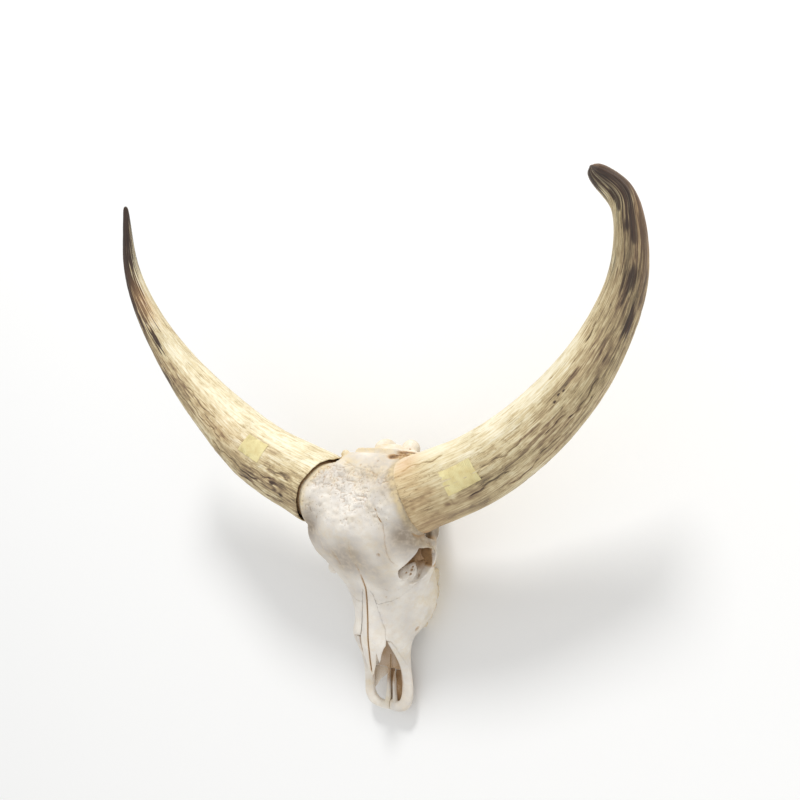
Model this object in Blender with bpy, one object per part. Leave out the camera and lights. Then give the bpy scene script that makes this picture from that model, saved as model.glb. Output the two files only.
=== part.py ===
"""Bleached skull of a long-horned cow, with its two loose horn sheaths.

Frame: +Z up, nose towards -Y, the animal's left at +X. The skull lies the way it rests
on a flat surface, on the chewing faces of its cheek teeth and on the two jugular
processes behind them. The origin is on that surface, under the middle of the whole.

Most shapes are rows of ring-shaped sections. The bony masses overlap, are fused into
one skin by a voxel remesh, opened with Boolean cutters and parted along the sutures.
"""

import math

import bmesh
import bpy
import numpy as np

MM = 0.001

# Driving dimensions, in millimetres. While modelling, y is 0 just behind the poll and negative
# towards the nose; POLL_Y is where that zero lies once the origin is under the middle of the whole.
POLL_Y = 28.5
ORBIT_CENTRE = (101.0, -197.0, 150.0)
ORBIT_FACING = (0.86, -0.50, 0.14)
ORBIT_LENGTH, ORBIT_HEIGHT = 76.0, 66.0
TOOTH_FRONT, TOOTH_LENGTHS = -326.0, (17, 19, 20, 28, 31, 33)
TOOTH_LINE = ((-326, 52), (-310, 60), (-290, 68), (-271, 73), (-250, 75), (-228, 72), (-201, 63), (-178, 52))
TOOTH_LEAN = 4.0

# Sheath wall, and the socket that takes the end of the bony horn core.
SHEATH_WALL = 5.0
SOCKET_DEPTH = 34.0
CORE_CLEARANCE = 3.0
RIM_SLANT = 0.2

# How the solids are made: remesh voxels, gaps between bones, and facets.
FUSE_VOXEL, FINAL_VOXEL, FINE_VOXEL = 3.2, 3.6, 2.4
SUTURE_GAP, SEAT_GAP = 0.6, 1.3
SKULL_KEEP = 0.039
PREMAXILLA_KEEP = 0.13
HORN_SIDES, HORN_RINGS = 20, 16


def clear_scene():
    for old in list(bpy.data.objects):
        bpy.data.objects.remove(old)


def material(name, colour, roughness):
    made = bpy.data.materials.new(name)
    made.use_nodes = True
    shader = made.node_tree.nodes["Principled BSDF"]
    shader.inputs["Base Color"].default_value = (*colour, 1.0)
    shader.inputs["Roughness"].default_value = roughness
    shader.inputs["Metallic"].default_value = 0.0
    return made


# ---------------------------------------------------------------- curves and sections


def smooth_rows(rows, count):
    """count rows along a cubic (Catmull-Rom) curve through the given rows, column by column."""
    rows = np.asarray(rows, float)
    slope = np.gradient(rows, axis=0)
    at = np.linspace(0, len(rows) - 1, count)
    low = np.minimum(at.astype(int), len(rows) - 2)
    t = (at - low)[:, None]
    a, b, ma, mb = rows[low], rows[low + 1], slope[low], slope[low + 1]
    return (
        (2 * t**3 - 3 * t**2 + 1) * a
        + (t**3 - 2 * t**2 + t) * ma
        + (3 * t**2 - 2 * t**3) * b
        + (t**3 - t**2) * mb
    )


def signed_power(value, power):
    return np.sign(value) * np.abs(value) ** power


def oval(sides, up_power, down_power):
    """Unit superellipse: x and z at each angle, with one power above the middle and one below."""
    angle = np.linspace(0, 2 * math.pi, sides, endpoint=False)
    power = 2 / np.where(np.sin(angle) >= 0, up_power, down_power)
    return signed_power(np.cos(angle), power), signed_power(np.sin(angle), power)


def closed_body(name, rings, ends="fan"):
    """One closed mesh from rings of equal length, bridged by triangles.

    Its ends are a fan about the ring's middle, one flat face, or a strip: the faces between the
    first half of the ring and the second half, which runs back beside it.
    """
    rings = np.asarray(rings, float) * MM
    count, sides = rings.shape[:2]
    mesh = bmesh.new()
    loops = [[mesh.verts.new(point) for point in ring] for ring in rings]
    for near, far in zip(loops, loops[1:]):
        for i in range(sides):
            j = (i + 1) % sides
            mesh.faces.new((near[i], near[j], far[j]))
            mesh.faces.new((near[i], far[j], far[i]))
    for end, ring in ((loops[0], rings[0]), (loops[-1], rings[-1])):
        if ends == "flat":
            mesh.faces.new(end)
        elif ends == "strip":
            for i in range(sides // 2 - 1):
                mesh.faces.new((end[i], end[i + 1], end[-2 - i], end[-1 - i]))
        else:
            centre = mesh.verts.new(ring.mean(axis=0))
            for i in range(sides):
                mesh.faces.new((end[i], end[(i + 1) % sides], centre))
    bmesh.ops.recalc_face_normals(mesh, faces=mesh.faces)
    data = bpy.data.meshes.new(name)
    mesh.to_mesh(data)
    mesh.free()
    made = bpy.data.objects.new(name, data)
    bpy.context.scene.collection.objects.link(made)
    return made


def lengthwise(name, rows, rings=24, sides=32, up_power=2.2, down_power=2.4):
    """A body of cross sections along y. Each row is y, middle height, half width, rise, drop."""
    table = smooth_rows(rows, rings)
    x, z = oval(sides, up_power, down_power)
    lift = np.where(z >= 0, table[:, 3:4] * z, table[:, 4:5] * z)
    points = np.stack(
        [table[:, 2:3] * x, np.repeat(table[:, 0:1], sides, axis=1), table[:, 1:2] + lift], axis=2
    )
    return closed_body(name, points)


def skin(name, rows, rings=30, sides=40):
    """A body through cross sections along y. Each row is y and half a section, top to bottom."""
    halves = np.array([half for _, half in rows], float)
    levels = smooth_rows([[y] for y, _ in rows], rings)
    halves = smooth_rows(halves.reshape(len(rows), -1), rings).reshape(rings, -1, 2)
    made = []
    for y, half in zip(levels[:, 0], halves):
        whole = np.concatenate([half, half[-2:0:-1] * (-1, 1)])
        wrapped = np.concatenate([whole[-2:], whole, whole[:3]])
        fine = smooth_rows(wrapped, (len(wrapped) - 1) * 8 + 1)[16:-16]
        ring = fine[np.linspace(0, len(fine) - 1, sides, endpoint=False).astype(int)]
        made.append(np.column_stack([ring[:, 0], np.full(sides, y), ring[:, 1]]))
    return closed_body(name, made)


def path_frames(path, up):
    """Unit tangent, side and upright directions at each point of a path."""
    tangent = np.gradient(path, axis=0)
    tangent /= np.linalg.norm(tangent, axis=1)[:, None]
    side = np.cross(tangent, up)
    side /= np.linalg.norm(side, axis=1)[:, None]
    return tangent, side, np.cross(side, tangent)


def bar(name, rows, rings=14, sides=14, up=(0, 0, 1), power=2.2):
    """A bar along a path. Each row is x, y, z, half breadth, half height."""
    table = smooth_rows(rows, rings)
    _, side, upright = path_frames(table[:, :3], up)
    a, b = oval(sides, power, power)
    points = (
        table[:, None, :3]
        + side[:, None] * (table[:, 3:4] * a)[..., None]
        + upright[:, None] * (table[:, 4:5] * b)[..., None]
    )
    return closed_body(name, points)


def egg(name, centre, radii, tilt=(0.0, 0.0, 0.0), rings=14, sides=20):
    """An ellipsoid with half axes radii, turned by tilt degrees about x, y and z."""
    polar = np.linspace(0, math.pi, rings + 2)[1:-1]
    around = np.linspace(0, 2 * math.pi, sides, endpoint=False)
    unit = np.stack(
        [
            np.outer(np.sin(polar), np.cos(around)),
            np.outer(np.sin(polar), np.sin(around)),
            np.repeat(np.cos(polar)[:, None], sides, axis=1),
        ],
        axis=2,
    )
    points = (unit * radii) @ turn(tilt).T + centre
    return closed_body(name, points)


def turn(degrees):
    rx, ry, rz = np.radians(degrees)
    x = np.array([[1, 0, 0], [0, math.cos(rx), -math.sin(rx)], [0, math.sin(rx), math.cos(rx)]])
    y = np.array([[math.cos(ry), 0, math.sin(ry)], [0, 1, 0], [-math.sin(ry), 0, math.cos(ry)]])
    z = np.array([[math.cos(rz), -math.sin(rz), 0], [math.sin(rz), math.cos(rz), 0], [0, 0, 1]])
    return z @ y @ x


def block(name, low, high):
    """A plain box between two corners."""
    x = np.array([low[0], high[0], high[0], low[0]])
    z = np.array([low[2], low[2], high[2], high[2]])
    rings = [np.stack([x, np.full(4, y), z], axis=1) for y in (low[1], high[1])]
    return closed_body(name, rings, ends="flat")


def prism(name, outline, low_x, high_x):
    """A side-view outline of (y, z) points carried across from low_x to high_x."""
    outline = np.asarray(outline, float)
    rings = [np.column_stack([np.full(len(outline), x), outline]) for x in (low_x, high_x)]
    return closed_body(name, rings, ends="flat")


def both_sides(make, name, rows, **settings):
    """The left-hand piece and its mirror image, for rows that start with x."""
    rows = np.asarray(rows, float)
    mirrored = rows * np.r_[-1, np.ones(rows.shape[-1] - 1)]
    return [make(name + "_l", rows, **settings), make(name + "_r", mirrored, **settings)]


def both_eggs(name, centre, radii, tilt=(0.0, 0.0, 0.0)):
    x, y, z = centre
    rx, ry, rz = tilt
    return [egg(name + "_l", centre, radii, tilt), egg(name + "_r", (-x, y, z), radii, (rx, -ry, -rz))]


# ---------------------------------------------------------------- joining and cutting


def apply_modifiers(body):
    graph = bpy.context.evaluated_depsgraph_get()
    body.data = bpy.data.meshes.new_from_object(body.evaluated_get(graph))
    body.modifiers.clear()


def joined(name, bodies):
    """All the bodies' meshes in one new object; the single bodies are removed."""
    mesh = bmesh.new()
    for body in bodies:
        mesh.from_mesh(body.data)
        bpy.data.objects.remove(body)
    data = bpy.data.meshes.new(name)
    mesh.to_mesh(data)
    mesh.free()
    made = bpy.data.objects.new(name, data)
    bpy.context.scene.collection.objects.link(made)
    return made


def fused(name, bodies, voxel, rounds=4):
    """Overlapping bodies remeshed into one skin, its creases eased."""
    whole = joined(name, bodies)
    remesh = whole.modifiers.new("fuse", "REMESH")
    remesh.mode = "VOXEL"
    remesh.voxel_size = voxel * MM
    ease = whole.modifiers.new("ease", "SMOOTH")
    ease.factor = 0.5
    ease.iterations = rounds
    apply_modifiers(whole)
    return whole


def is_closed(body):
    """Whether the body has faces, and each edge lies between exactly two of them."""
    edges = np.empty(len(body.data.loops), int)
    body.data.loops.foreach_get("edge_index", edges)
    return len(edges) > 0 and bool(np.all(np.bincount(edges) == 2))


def boolean(body, tool, operation):
    """Combines a body with a tool. MANIFOLD steps in only where EXACT leaves an open result."""
    whole = body.data
    for solver in ("EXACT", "MANIFOLD"):
        body.data = whole
        cut = body.modifiers.new(operation.lower(), "BOOLEAN")
        cut.operation = operation
        cut.solver = solver
        cut.object = tool
        apply_modifiers(body)
        if is_closed(body):
            break
    return body


def cut_away(body, tools):
    for tool in tools:
        boolean(body, tool, "DIFFERENCE")
        bpy.data.objects.remove(tool)
    return body


def thinned(body, share):
    fewer = body.modifiers.new("thin", "DECIMATE")
    fewer.ratio = share
    fewer.use_collapse_triangulate = True
    apply_modifiers(body)
    return body


def largest_part(body):
    """Drops loose crumbs that a cut has left beside the body."""
    mesh = bmesh.new()
    mesh.from_mesh(body.data)
    waiting, parts = set(mesh.verts), []
    while waiting:
        part, edge_of_part = set(), [waiting.pop()]
        while edge_of_part:
            vertex = edge_of_part.pop()
            part.add(vertex)
            near = {edge.other_vert(vertex) for edge in vertex.link_edges} & waiting
            waiting -= near
            edge_of_part += near
        parts.append(part)
    parts.sort(key=len)
    bmesh.ops.delete(mesh, geom=[vertex for part in parts[:-1] for vertex in part], context="VERTS")
    mesh.to_mesh(body.data)
    mesh.free()
    return body


def copy_of(body, name):
    made = bpy.data.objects.new(name, body.data.copy())
    bpy.context.scene.collection.objects.link(made)
    return made


def grown(body, name, margin):
    """A copy of a body with its skin moved outwards by margin."""
    made = copy_of(body, name)
    swell = made.modifiers.new("swell", "DISPLACE")
    swell.strength = margin * MM
    swell.mid_level = 0.0
    apply_modifiers(made)
    return made


def finish_piece(body, name, finish):
    """Names the node, gives it its material and moves it from the modelling frame to the origin."""
    body.name = name
    body.data.name = name
    body.data.materials.clear()
    body.data.materials.append(finish)
    offset = (0.0, POLL_Y * MM, 0.0)
    points = np.empty(len(body.data.vertices) * 3)
    body.data.vertices.foreach_get("co", points)
    body.data.vertices.foreach_set("co", (points.reshape(-1, 3) + offset).ravel())
    body.data.update()
    body.data.shade_smooth()
    body.data.set_sharp_from_angle(angle=math.radians(40))


# ---------------------------------------------------------------- the bones' masses


def forehead():
    """The flat frontal bones, from the poll over the orbits to the nasal root."""
    rows = [
        (-10, [(0, 196), (22, 194), (40, 187), (50, 176), (50, 158), (34, 142), (0, 138)]),
        (-22, [(0, 208), (28, 207), (48, 202), (64, 190), (70, 170), (56, 148), (0, 140)]),
        (-45, [(0, 222), (34, 222), (62, 218), (82, 206), (86, 184), (70, 156), (0, 140)]),
        (-81, [(0, 232), (38, 232), (70, 229), (92, 216), (94, 190), (80, 164), (0, 140)]),
        (-120, [(0, 235), (40, 234), (76, 228), (102, 212), (110, 190), (94, 166), (0, 140)]),
        (-150, [(0, 231), (40, 229), (76, 220), (104, 204), (117, 186), (102, 162), (0, 140)]),
        (-170, [(0, 222), (38, 220), (72, 212), (100, 199), (115, 186), (102, 162), (0, 130)]),
        (-190, [(0, 209), (36, 206), (66, 199), (90, 190), (104, 181), (92, 156), (0, 120)]),
        (-208, [(0, 192), (34, 190), (58, 185), (76, 179), (90, 171), (80, 146), (0, 110)]),
        (-228, [(0, 172), (30, 171), (50, 166), (66, 160), (76, 150), (68, 128), (0, 100)]),
        (-250, [(0, 153), (28, 151), (44, 145), (58, 136), (66, 124), (58, 106), (0, 90)]),
    ]
    return skin("forehead", rows)


def face():
    """The upper jaws from the orbits to the nasal opening."""
    rows = [
        (-178, [(0, 160), (34, 158), (60, 140), (66, 110), (62, 70), (54, 34), (0, 36)]),
        (-205, [(0, 166), (38, 162), (68, 140), (82, 110), (78, 70), (66, 30), (0, 30)]),
        (-235, [(0, 162), (34, 159), (62, 147), (81, 124), (85, 90), (78, 30), (0, 27)]),
        (-262, [(0, 147), (32, 143), (54, 128), (71, 102), (79, 70), (80, 29), (0, 27)]),
        (-290, [(0, 137), (30, 131), (50, 112), (66, 88), (76, 60), (76, 30), (0, 27)]),
        (-318, [(0, 128), (29, 122), (44, 106), (59, 86), (66, 60), (60, 32), (0, 30)]),
        (-345, [(0, 119), (28, 113), (42, 98), (54, 82), (54, 58), (42, 34), (0, 32)]),
        (-375, [(0, 80), (31, 80), (41, 68), (48, 56), (47, 43), (37, 30), (0, 30)]),
        (-408, [(0, 50), (28, 50), (40, 48), (48, 42), (46, 32), (36, 24), (0, 23)]),
        (-426, [(0, 44), (26, 44), (40, 42), (48, 37), (45, 28), (34, 22), (0, 21)]),
    ]
    body = skin("face", rows)
    tuber = both_eggs("facial_tuber", (68, -297, 60), (10, 26, 13), (0, 0, -22))
    return [body, *tuber, *cheek_teeth()]


def cheek_teeth():
    """Six teeth on each side, longer from the first premolar to the last molar, leaning inwards."""
    lengths = np.array(TOOTH_LENGTHS, float)
    middles = TOOTH_FRONT + np.cumsum(lengths) - lengths / 2
    outer = np.interp(middles, *np.array(TOOTH_LINE, float).T)
    made = []
    for index, (y, x, size) in enumerate(zip(middles, outer, lengths)):
        half = 8.5 + index * 0.7
        rows = [
            (x - half - 2, y, 52, half, size / 2 - 1),
            (x - half - 1, y, 26, half + 0.5, size / 2 - 0.5),
            (x - half - TOOTH_LEAN, y, 8, half, size / 2),
            (x - half - TOOTH_LEAN - 2, y, -8, half - 0.5, size / 2),
        ]
        made += both_sides(bar, f"tooth_{index}", rows, rings=8, sides=12, up=(0, 1, 0), power=3.4)
    return made


def braincase():
    rows = [
        (2, 128, 60, 40, 44),
        (-40, 130, 68, 50, 52),
        (-100, 130, 62, 50, 48),
        (-150, 130, 50, 50, 44),
        (-196, 120, 42, 50, 44),
    ]
    return lengthwise("braincase", rows)


def occiput():
    """Back plate, nuchal crest, condyles, jugular processes and the base of the braincase."""
    plate = egg("occiput", (0, -30, 142), (84, 26, 62))
    rim = egg("exoccipital", (0, -12, 106), (78, 22, 34))
    lintel = egg("foramen_lintel", (0, -1, 112), (38, 18, 22))
    crest_rows = [
        (0, -20, 198, 7, 7),
        (30, -20, 193, 7, 7),
        (53, -14, 181, 7, 7),
        (65, -11, 167, 6, 6),
        (75, -11, 148, 6, 6),
        (88, -20, 126, 7, 8),
        (92, -40, 112, 7, 9),
    ]
    crest = both_sides(bar, "nuchal_crest", crest_rows)
    condyles = both_eggs("condyle", (28, 9, 84), (18, 19, 25), (0, 22, 0))
    jugular_rows = [
        (74, -26, 112, 13, 24),
        (71, -22, 84, 10, 21),
        (66, -16, 54, 8, 15),
        (61, -11, 24, 6, 9),
        (58, -9, -8, 5, 6),
    ]
    jugulars = both_sides(bar, "jugular", jugular_rows, up=(0, 1, 0))
    base_rows = [(0, 10, 70, 20, 10), (0, -30, 70, 22, 11), (0, -80, 74, 16, 12), (0, -150, 84, 13, 14)]
    base = bar("skull_base", base_rows)
    bullae = both_eggs("bulla", (42, -60, 72), (13, 18, 16), (0, 0, 20))
    ears = both_eggs("ear_canal", (74, -56, 100), (18, 11, 12))
    return [plate, rim, lintel, base, *crest, *condyles, *jugulars, *bullae, *ears]


def horn_bosses():
    """The bony collars that carry the horns, and the core ends that stand in the sheaths."""
    made = []
    for side, horn in HORNS.items():
        line, radius = horn_spine(side, 60)
        outward = (line[4] - line[0]) / np.linalg.norm(line[4] - line[0])
        inner = line[0] - outward * 70 - (0, 0, 12)
        rim = radius[0]
        core = rim - SHEATH_WALL - CORE_CLEARANCE
        reach = horn["pull_out"] + SOCKET_DEPTH - 3
        collar_rows = [(inner, 0.7), (line[0] - outward * 36, 0.93), (line[0] - outward * 9, 0.965)]
        core_rows = [(line[0] - outward * 50, 0.8), (line[0] + outward * (reach - 14), 0.98)]
        core_rows.append((line[0] + outward * reach, 0.9))
        for name, size, rows in (("collar", rim, collar_rows), ("core", core, core_rows)):
            table = [[*place, size * part, size * part] for place, part in rows]
            made.append(bar(f"horn_{name}_{side}", table, sides=28, power=2.0))
    return made


def orbit_axes():
    """Centre of the eye socket's mouth, and its outward, forward and upward directions."""
    out = np.array(ORBIT_FACING) / np.linalg.norm(ORBIT_FACING)
    along = np.cross((0, 0, 1), out)
    along /= np.linalg.norm(along)
    return np.array(ORBIT_CENTRE), out, along, np.cross(out, along)


def eye_sockets():
    """Raised rim of each orbit, the bar behind it and the cheek arch below it."""
    centre, out, along, upright = orbit_axes()
    turn_angle = np.linspace(0, 2 * math.pi, 17)
    rows = [
        [*(centre - out * 4 + along * ORBIT_LENGTH * 0.54 * math.cos(a)
           + upright * ORBIT_HEIGHT * 0.54 * math.sin(a)), 4.0, 5.5]
        for a in turn_angle
    ]
    rims = both_sides(bar, "orbit_rim", rows, rings=40, sides=10, up=out)
    arch_rows = [
        (74, -250, 88, 8, 17),
        (92, -222, 102, 7, 16),
        (104, -190, 112, 6, 13),
        (106, -155, 112, 5, 9),
        (104, -115, 108, 5, 8),
        (96, -76, 106, 6, 10),
        (80, -52, 108, 9, 13),
    ]
    arches = both_sides(bar, "cheek_arch", arch_rows, rings=20)
    post_rows = [
        (106, -146, 182, 8, 13),
        (108, -152, 158, 5, 8),
        (107, -156, 132, 5, 7),
        (106, -158, 112, 5, 9),
    ]
    posts = both_sides(bar, "orbit_bar", post_rows, up=(0, 1, 0))
    return [*rims, *arches, *posts]


def skull_floor():
    """The wings between the palate and the braincase, and the bone under the orbits."""
    wings = both_eggs("pterygoid", (24, -150, 66), (5, 36, 30))
    roots = both_eggs("orbit_floor", (52, -172, 92), (28, 26, 32))
    return [*wings, *roots]


def whole_skull():
    masses = [forehead(), braincase(), *occiput(), *horn_bosses(), *eye_sockets(), *face(), *skull_floor()]
    return fused("skull", masses, FUSE_VOXEL)


# ---------------------------------------------------------------- hollows


def hollows():
    """Everything that is opened in the fused skull."""
    return [*orbit_hollows(), nasal_hollow(), palate_hollow(), *back_openings()]


def orbit_hollows():
    centre, out, along, upright = orbit_axes()
    rows = []
    for depth, size in ((20, 1.1), (2, 1.0), (-22, 0.98), (-44, 0.76), (-58, 0.42)):
        rows.append([*(centre + out * depth), ORBIT_LENGTH / 2 * size, ORBIT_HEIGHT / 2 * size])
    return both_sides(bar, "orbit", rows, rings=16, sides=22)


def nasal_hollow():
    """The passage behind the nasal opening, with the opening's slanting edge in front."""
    rows = [
        (-440, [(0, 130), (34, 128), (36, 100), (34, 70), (28, 46), (20, 34), (0, 33)]),
        (-412, [(0, 130), (34, 126), (35, 96), (32, 66), (28, 46), (20, 34), (0, 33)]),
        (-384, [(0, 128), (30, 122), (32, 94), (32, 70), (30, 50), (22, 36), (0, 36)]),
        (-360, [(0, 122), (26, 116), (29, 96), (32, 74), (30, 56), (22, 41), (0, 41)]),
        (-335, [(0, 112), (22, 108), (30, 94), (32, 76), (28, 60), (22, 48), (0, 48)]),
        (-300, [(0, 116), (20, 112), (28, 98), (30, 80), (26, 66), (18, 54), (0, 54)]),
        (-262, [(0, 110), (10, 108), (14, 98), (15, 86), (13, 76), (8, 68), (0, 68)]),
    ]
    return skin("nasal_hollow", rows, rings=24, sides=28)


def palate_hollow():
    """The vault between the tooth rows."""
    rows = [
        (-395, [(0, 22), (16, 21), (24, 16), (26, 8), (26, -10), (20, -30), (0, -30)]),
        (-350, [(0, 31), (18, 30), (26, 23), (28, 12), (28, -10), (22, -30), (0, -30)]),
        (-300, [(0, 36), (26, 34), (40, 25), (44, 12), (44, -10), (34, -30), (0, -30)]),
        (-240, [(0, 38), (30, 36), (46, 26), (50, 12), (50, -10), (38, -30), (0, -30)]),
        (-190, [(0, 42), (24, 40), (34, 28), (38, 12), (38, -10), (32, -30), (0, -30)]),
        (-160, [(0, 50), (22, 46), (30, 32), (34, 14), (34, -10), (30, -30), (0, -30)]),
    ]
    return skin("palate_hollow", rows, rings=20, sides=24)


def back_openings():
    """The foramen magnum and the two passages of the choana."""
    foramen = bar("foramen_magnum", [(0, 40, 104, 17, 15), (0, 4, 102, 17, 16), (0, -46, 112, 13, 13)])
    choana_rows = [(9, -110, 44, 8, 30), (9, -150, 54, 8, 22), (8, -182, 62, 7, 18), (7, -206, 68, 5, 10)]
    return [foramen, *both_sides(bar, "choana", choana_rows)]


# ---------------------------------------------------------------- separate bones


# Front edge of a nasal bone: share of its width from the midline, and where it ends.
NASAL_FORK = ((0, -405), (0.12, -402), (0.3, -382), (0.42, -366), (0.55, -372), (0.7, -382), (0.85, -366))
NASAL_CORNER = -345.0


def nasal_bone(sign):
    """One nasal bone: an arched plate, forked at its free end."""
    rows = [
        (-222, 3, 178, 172),
        (-245, 22, 157, 147),
        (-275, 27, 144, 131),
        (-310, 29, 135, 121),
        (NASAL_CORNER, 28, 126, 113),
        (-405, 24, 105, 96),
    ]
    across, fork = np.array([*NASAL_FORK, (1, NASAL_CORNER)], float).T
    share = np.linspace(0, 1, 10)[:, None]
    start = rows[0][0]
    bend = -310.0
    y = start + (bend - start) * np.minimum(share / 0.6, 1) + (fork - bend) * np.clip(share / 0.4 - 1.5, 0, 1)
    table = smooth_rows(rows[::-1], 200)
    reach, ridge, edge = (np.interp(y, table[:, 0], table[:, i]) for i in (1, 2, 3))
    x = SUTURE_GAP / 2 + reach * across
    z = ridge + (edge - ridge) * across**2
    top = np.stack([sign * x, y, z], axis=2)
    return closed_body("nasal", np.concatenate([top, (top - (0, 0, 4))[:, ::-1]], axis=1), ends="strip")


# Side view of the joint between premaxilla and upper jaw: y and z, from the top down.
NOSE_SUTURE = [(-340, 118), (-346, 100), (-380, 60), (-404, 40), (-412, 10), (-412, -60)]


def ribbon(name, rows, rings=28, sides=16):
    """A flat bar between two edges. Each row is x, y, z of both edges and half the thickness."""
    table = smooth_rows(rows, rings)
    middle, reach = (table[:, :3] + table[:, 3:6]) / 2, (table[:, 3:6] - table[:, :3]) / 2
    normal = np.cross(reach, np.gradient(middle, axis=0))
    normal *= table[:, 6:7] / np.linalg.norm(normal, axis=1)[:, None]
    a, b = oval(sides, 2.6, 2.6)
    return closed_body(name, middle[:, None] + reach[:, None] * a[:, None] + normal[:, None] * b[:, None])


def premaxilla(sign):
    """One premaxilla: toothless plate, the wing up beside the nose and the palatine splint."""
    wing_rows = [
        (-6, -463, 27, -6, -482, 24, 6),
        (12, -465, 28, 17, -483, 26, 7),
        (22, -460, 29, 36, -477, 28, 8),
        (26, -448, 31, 47, -462, 31, 7.5),
        (27, -432, 34, 50, -442, 33, 7),
        (27, -417, 40, 49.5, -414, 38, 6.5),
        (29, -402, 50, 48, -398, 41, 6),
        (30, -387, 62, 47, -384, 44, 5.5),
        (31, -373, 77, 48, -368, 48, 5),
        (30, -360, 92, 50, -352, 56, 4.5),
        (28, -346, 106, 52, -338, 66, 4),
    ]
    splint_rows = [(7, -470, 26, 6, 6), (7, -440, 27, 4.5, 5), (6, -414, 29, 4, 5), (6, -400, 30, 4, 5)]
    masses = [ribbon("wing", wing_rows), bar("splint", splint_rows, rings=20, sides=14)]
    piece = fused("premaxilla", masses, FINE_VOXEL, rounds=2)
    limits = block("side", (SUTURE_GAP * 2, -600, -50), (90, 0, 200))
    boolean(piece, limits, "INTERSECT")
    bpy.data.objects.remove(limits)
    behind = [(y - SUTURE_GAP, z) for y, z in NOSE_SUTURE]
    cut_away(piece, [prism("behind", [*behind, (-200, -60), (-200, 118)], -10, 100)])
    thinned(piece, PREMAXILLA_KEEP)
    if sign < 0:
        mirror(piece)
    return piece


def mirror(body):
    """Swaps left and right, and turns the faces so that they still point outwards."""
    mesh = bmesh.new()
    mesh.from_mesh(body.data)
    for vertex in mesh.verts:
        vertex.co.x *= -1
    bmesh.ops.reverse_faces(mesh, faces=mesh.faces)
    mesh.to_mesh(body.data)
    mesh.free()


# ---------------------------------------------------------------- horns

# Centre line (x outward) from the rim to the tip, and the radius along it. pull_out is how
# far the sheath stands off its bony collar; rim_turn slants the rim against the centre line.
HORNS = {
    "left": {
        "line": [
            (104, -79, 183),
            (234, -25, 204),
            (340, 48, 225),
            (426, 135, 260),
            (484, 233, 306),
            (495, 319, 363),
            (463, 350, 432),
        ],
        "radii": [67, 58, 47.5, 33, 20.5, 15.5, 4],
        "pull_out": 0.0,
    },
    "right": {
        "line": [
            (106, -79, 183),
            (233, -24, 209),
            (338, 48, 228),
            (427, 135, 262),
            (485, 231, 312),
            (496, 323, 368),
            (459, 423, 430),
        ],
        "radii": [69, 60, 46, 29.5, 19, 11, 3.5],
        "pull_out": 7.0,
    },
}
RADII_AT = (0, 0.2, 0.4, 0.6, 0.8, 0.93, 1.0)


def horn_spine(side, count):
    """Centre points and radii along one horn."""
    sign = 1 if side == "left" else -1
    line = smooth_rows(HORNS[side]["line"], count) * (sign, 1, 1)
    return line, np.interp(np.linspace(0, 1, count), RADII_AT, HORNS[side]["radii"])


def horn_sheath(side):
    """A hollow-based cone bent along its centre line: socket, rim, flank and tip in one skin."""
    line, radius = horn_spine(side, HORN_RINGS)
    tangent, across, upright = path_frames(line, (0, 0, 1))
    angle = np.linspace(0, 2 * math.pi, HORN_SIDES, endpoint=False)
    fade = np.clip(1 - np.arange(HORN_RINGS) / 4, 0, 1)

    def ring(i, size, along):
        spoke = across[i] * np.cos(angle)[:, None] + upright[i] * np.sin(angle)[:, None]
        rostral = spoke @ np.array([0, -1, 0])
        shift = along + fade[i] * RIM_SLANT * size * rostral
        return line[i] + spoke * size + tangent[i] * shift[:, None]

    pull = HORNS[side]["pull_out"]
    socket = radius[0] - SHEATH_WALL
    rings = [
        ring(0, socket * 0.5, pull + SOCKET_DEPTH + 1),
        ring(0, socket * 0.93, pull + SOCKET_DEPTH),
        ring(0, socket, pull + 1),
        ring(0, socket + 1.5, pull - 0.5),
        ring(0, radius[0] - 1, pull - 0.5),
        ring(0, radius[0], pull + 1.5),
    ]
    rings += [ring(i, radius[i], 0) for i in range(1, HORN_RINGS)]
    rings.append(line[-1] + (rings[-1] - line[-1]) * 0.5 + tangent[-1] * 2.2)
    return closed_body(f"horn_{side}", rings)


# Paper labels: along the horn from and to, in millimetres, and round it, in degrees.
LABELS = {"left": ((99, 160), (54, 92)), "right": ((104, 154), (57, 90))}
LABEL_LIFT, LABEL_THICK = 0.9, 0.6


def label(side):
    """A blank slip of paper tape bent round the horn."""
    (start, stop), (low, high) = LABELS[side]
    line, radius = horn_spine(side, 400)
    _, across, upright = path_frames(line, (0, 0, 1))
    length = np.r_[0, np.cumsum(np.linalg.norm(np.diff(line, axis=0), axis=1))]
    angles = np.radians(np.linspace(low, high, 5))
    rings = []
    for place in np.linspace(start, stop, 3):
        i = int(np.searchsorted(length, place))
        spoke = across[i] * np.cos(angles)[:, None] + upright[i] * np.sin(angles)[:, None]
        inner = line[i] + spoke * (radius[i] + LABEL_LIFT)
        outer = line[i] + spoke[::-1] * (radius[i] + LABEL_LIFT + LABEL_THICK)
        rings.append(np.concatenate([inner, outer]))
    return closed_body(f"label_{side}", rings, ends="strip")


# ---------------------------------------------------------------- assembly


# The joint behind the upper jaws. In side view (y, z) it runs from the forehead to behind the last
# molar. Its first CHEEK_POINTS points lie on the cheek and swing forward, by CHEEK_SWING at each x,
# from the front of the eye socket to the side of the nasal bones.
JAW_BACK = [(-236, 400), (-238, 128), (-206, 84), (-166, 66), (-160, -60)]
CHEEK_POINTS = 2
CHEEK_SWING = ((0, -40), (24, -40), (60, -24), (90, 0), (300, 0))


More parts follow.
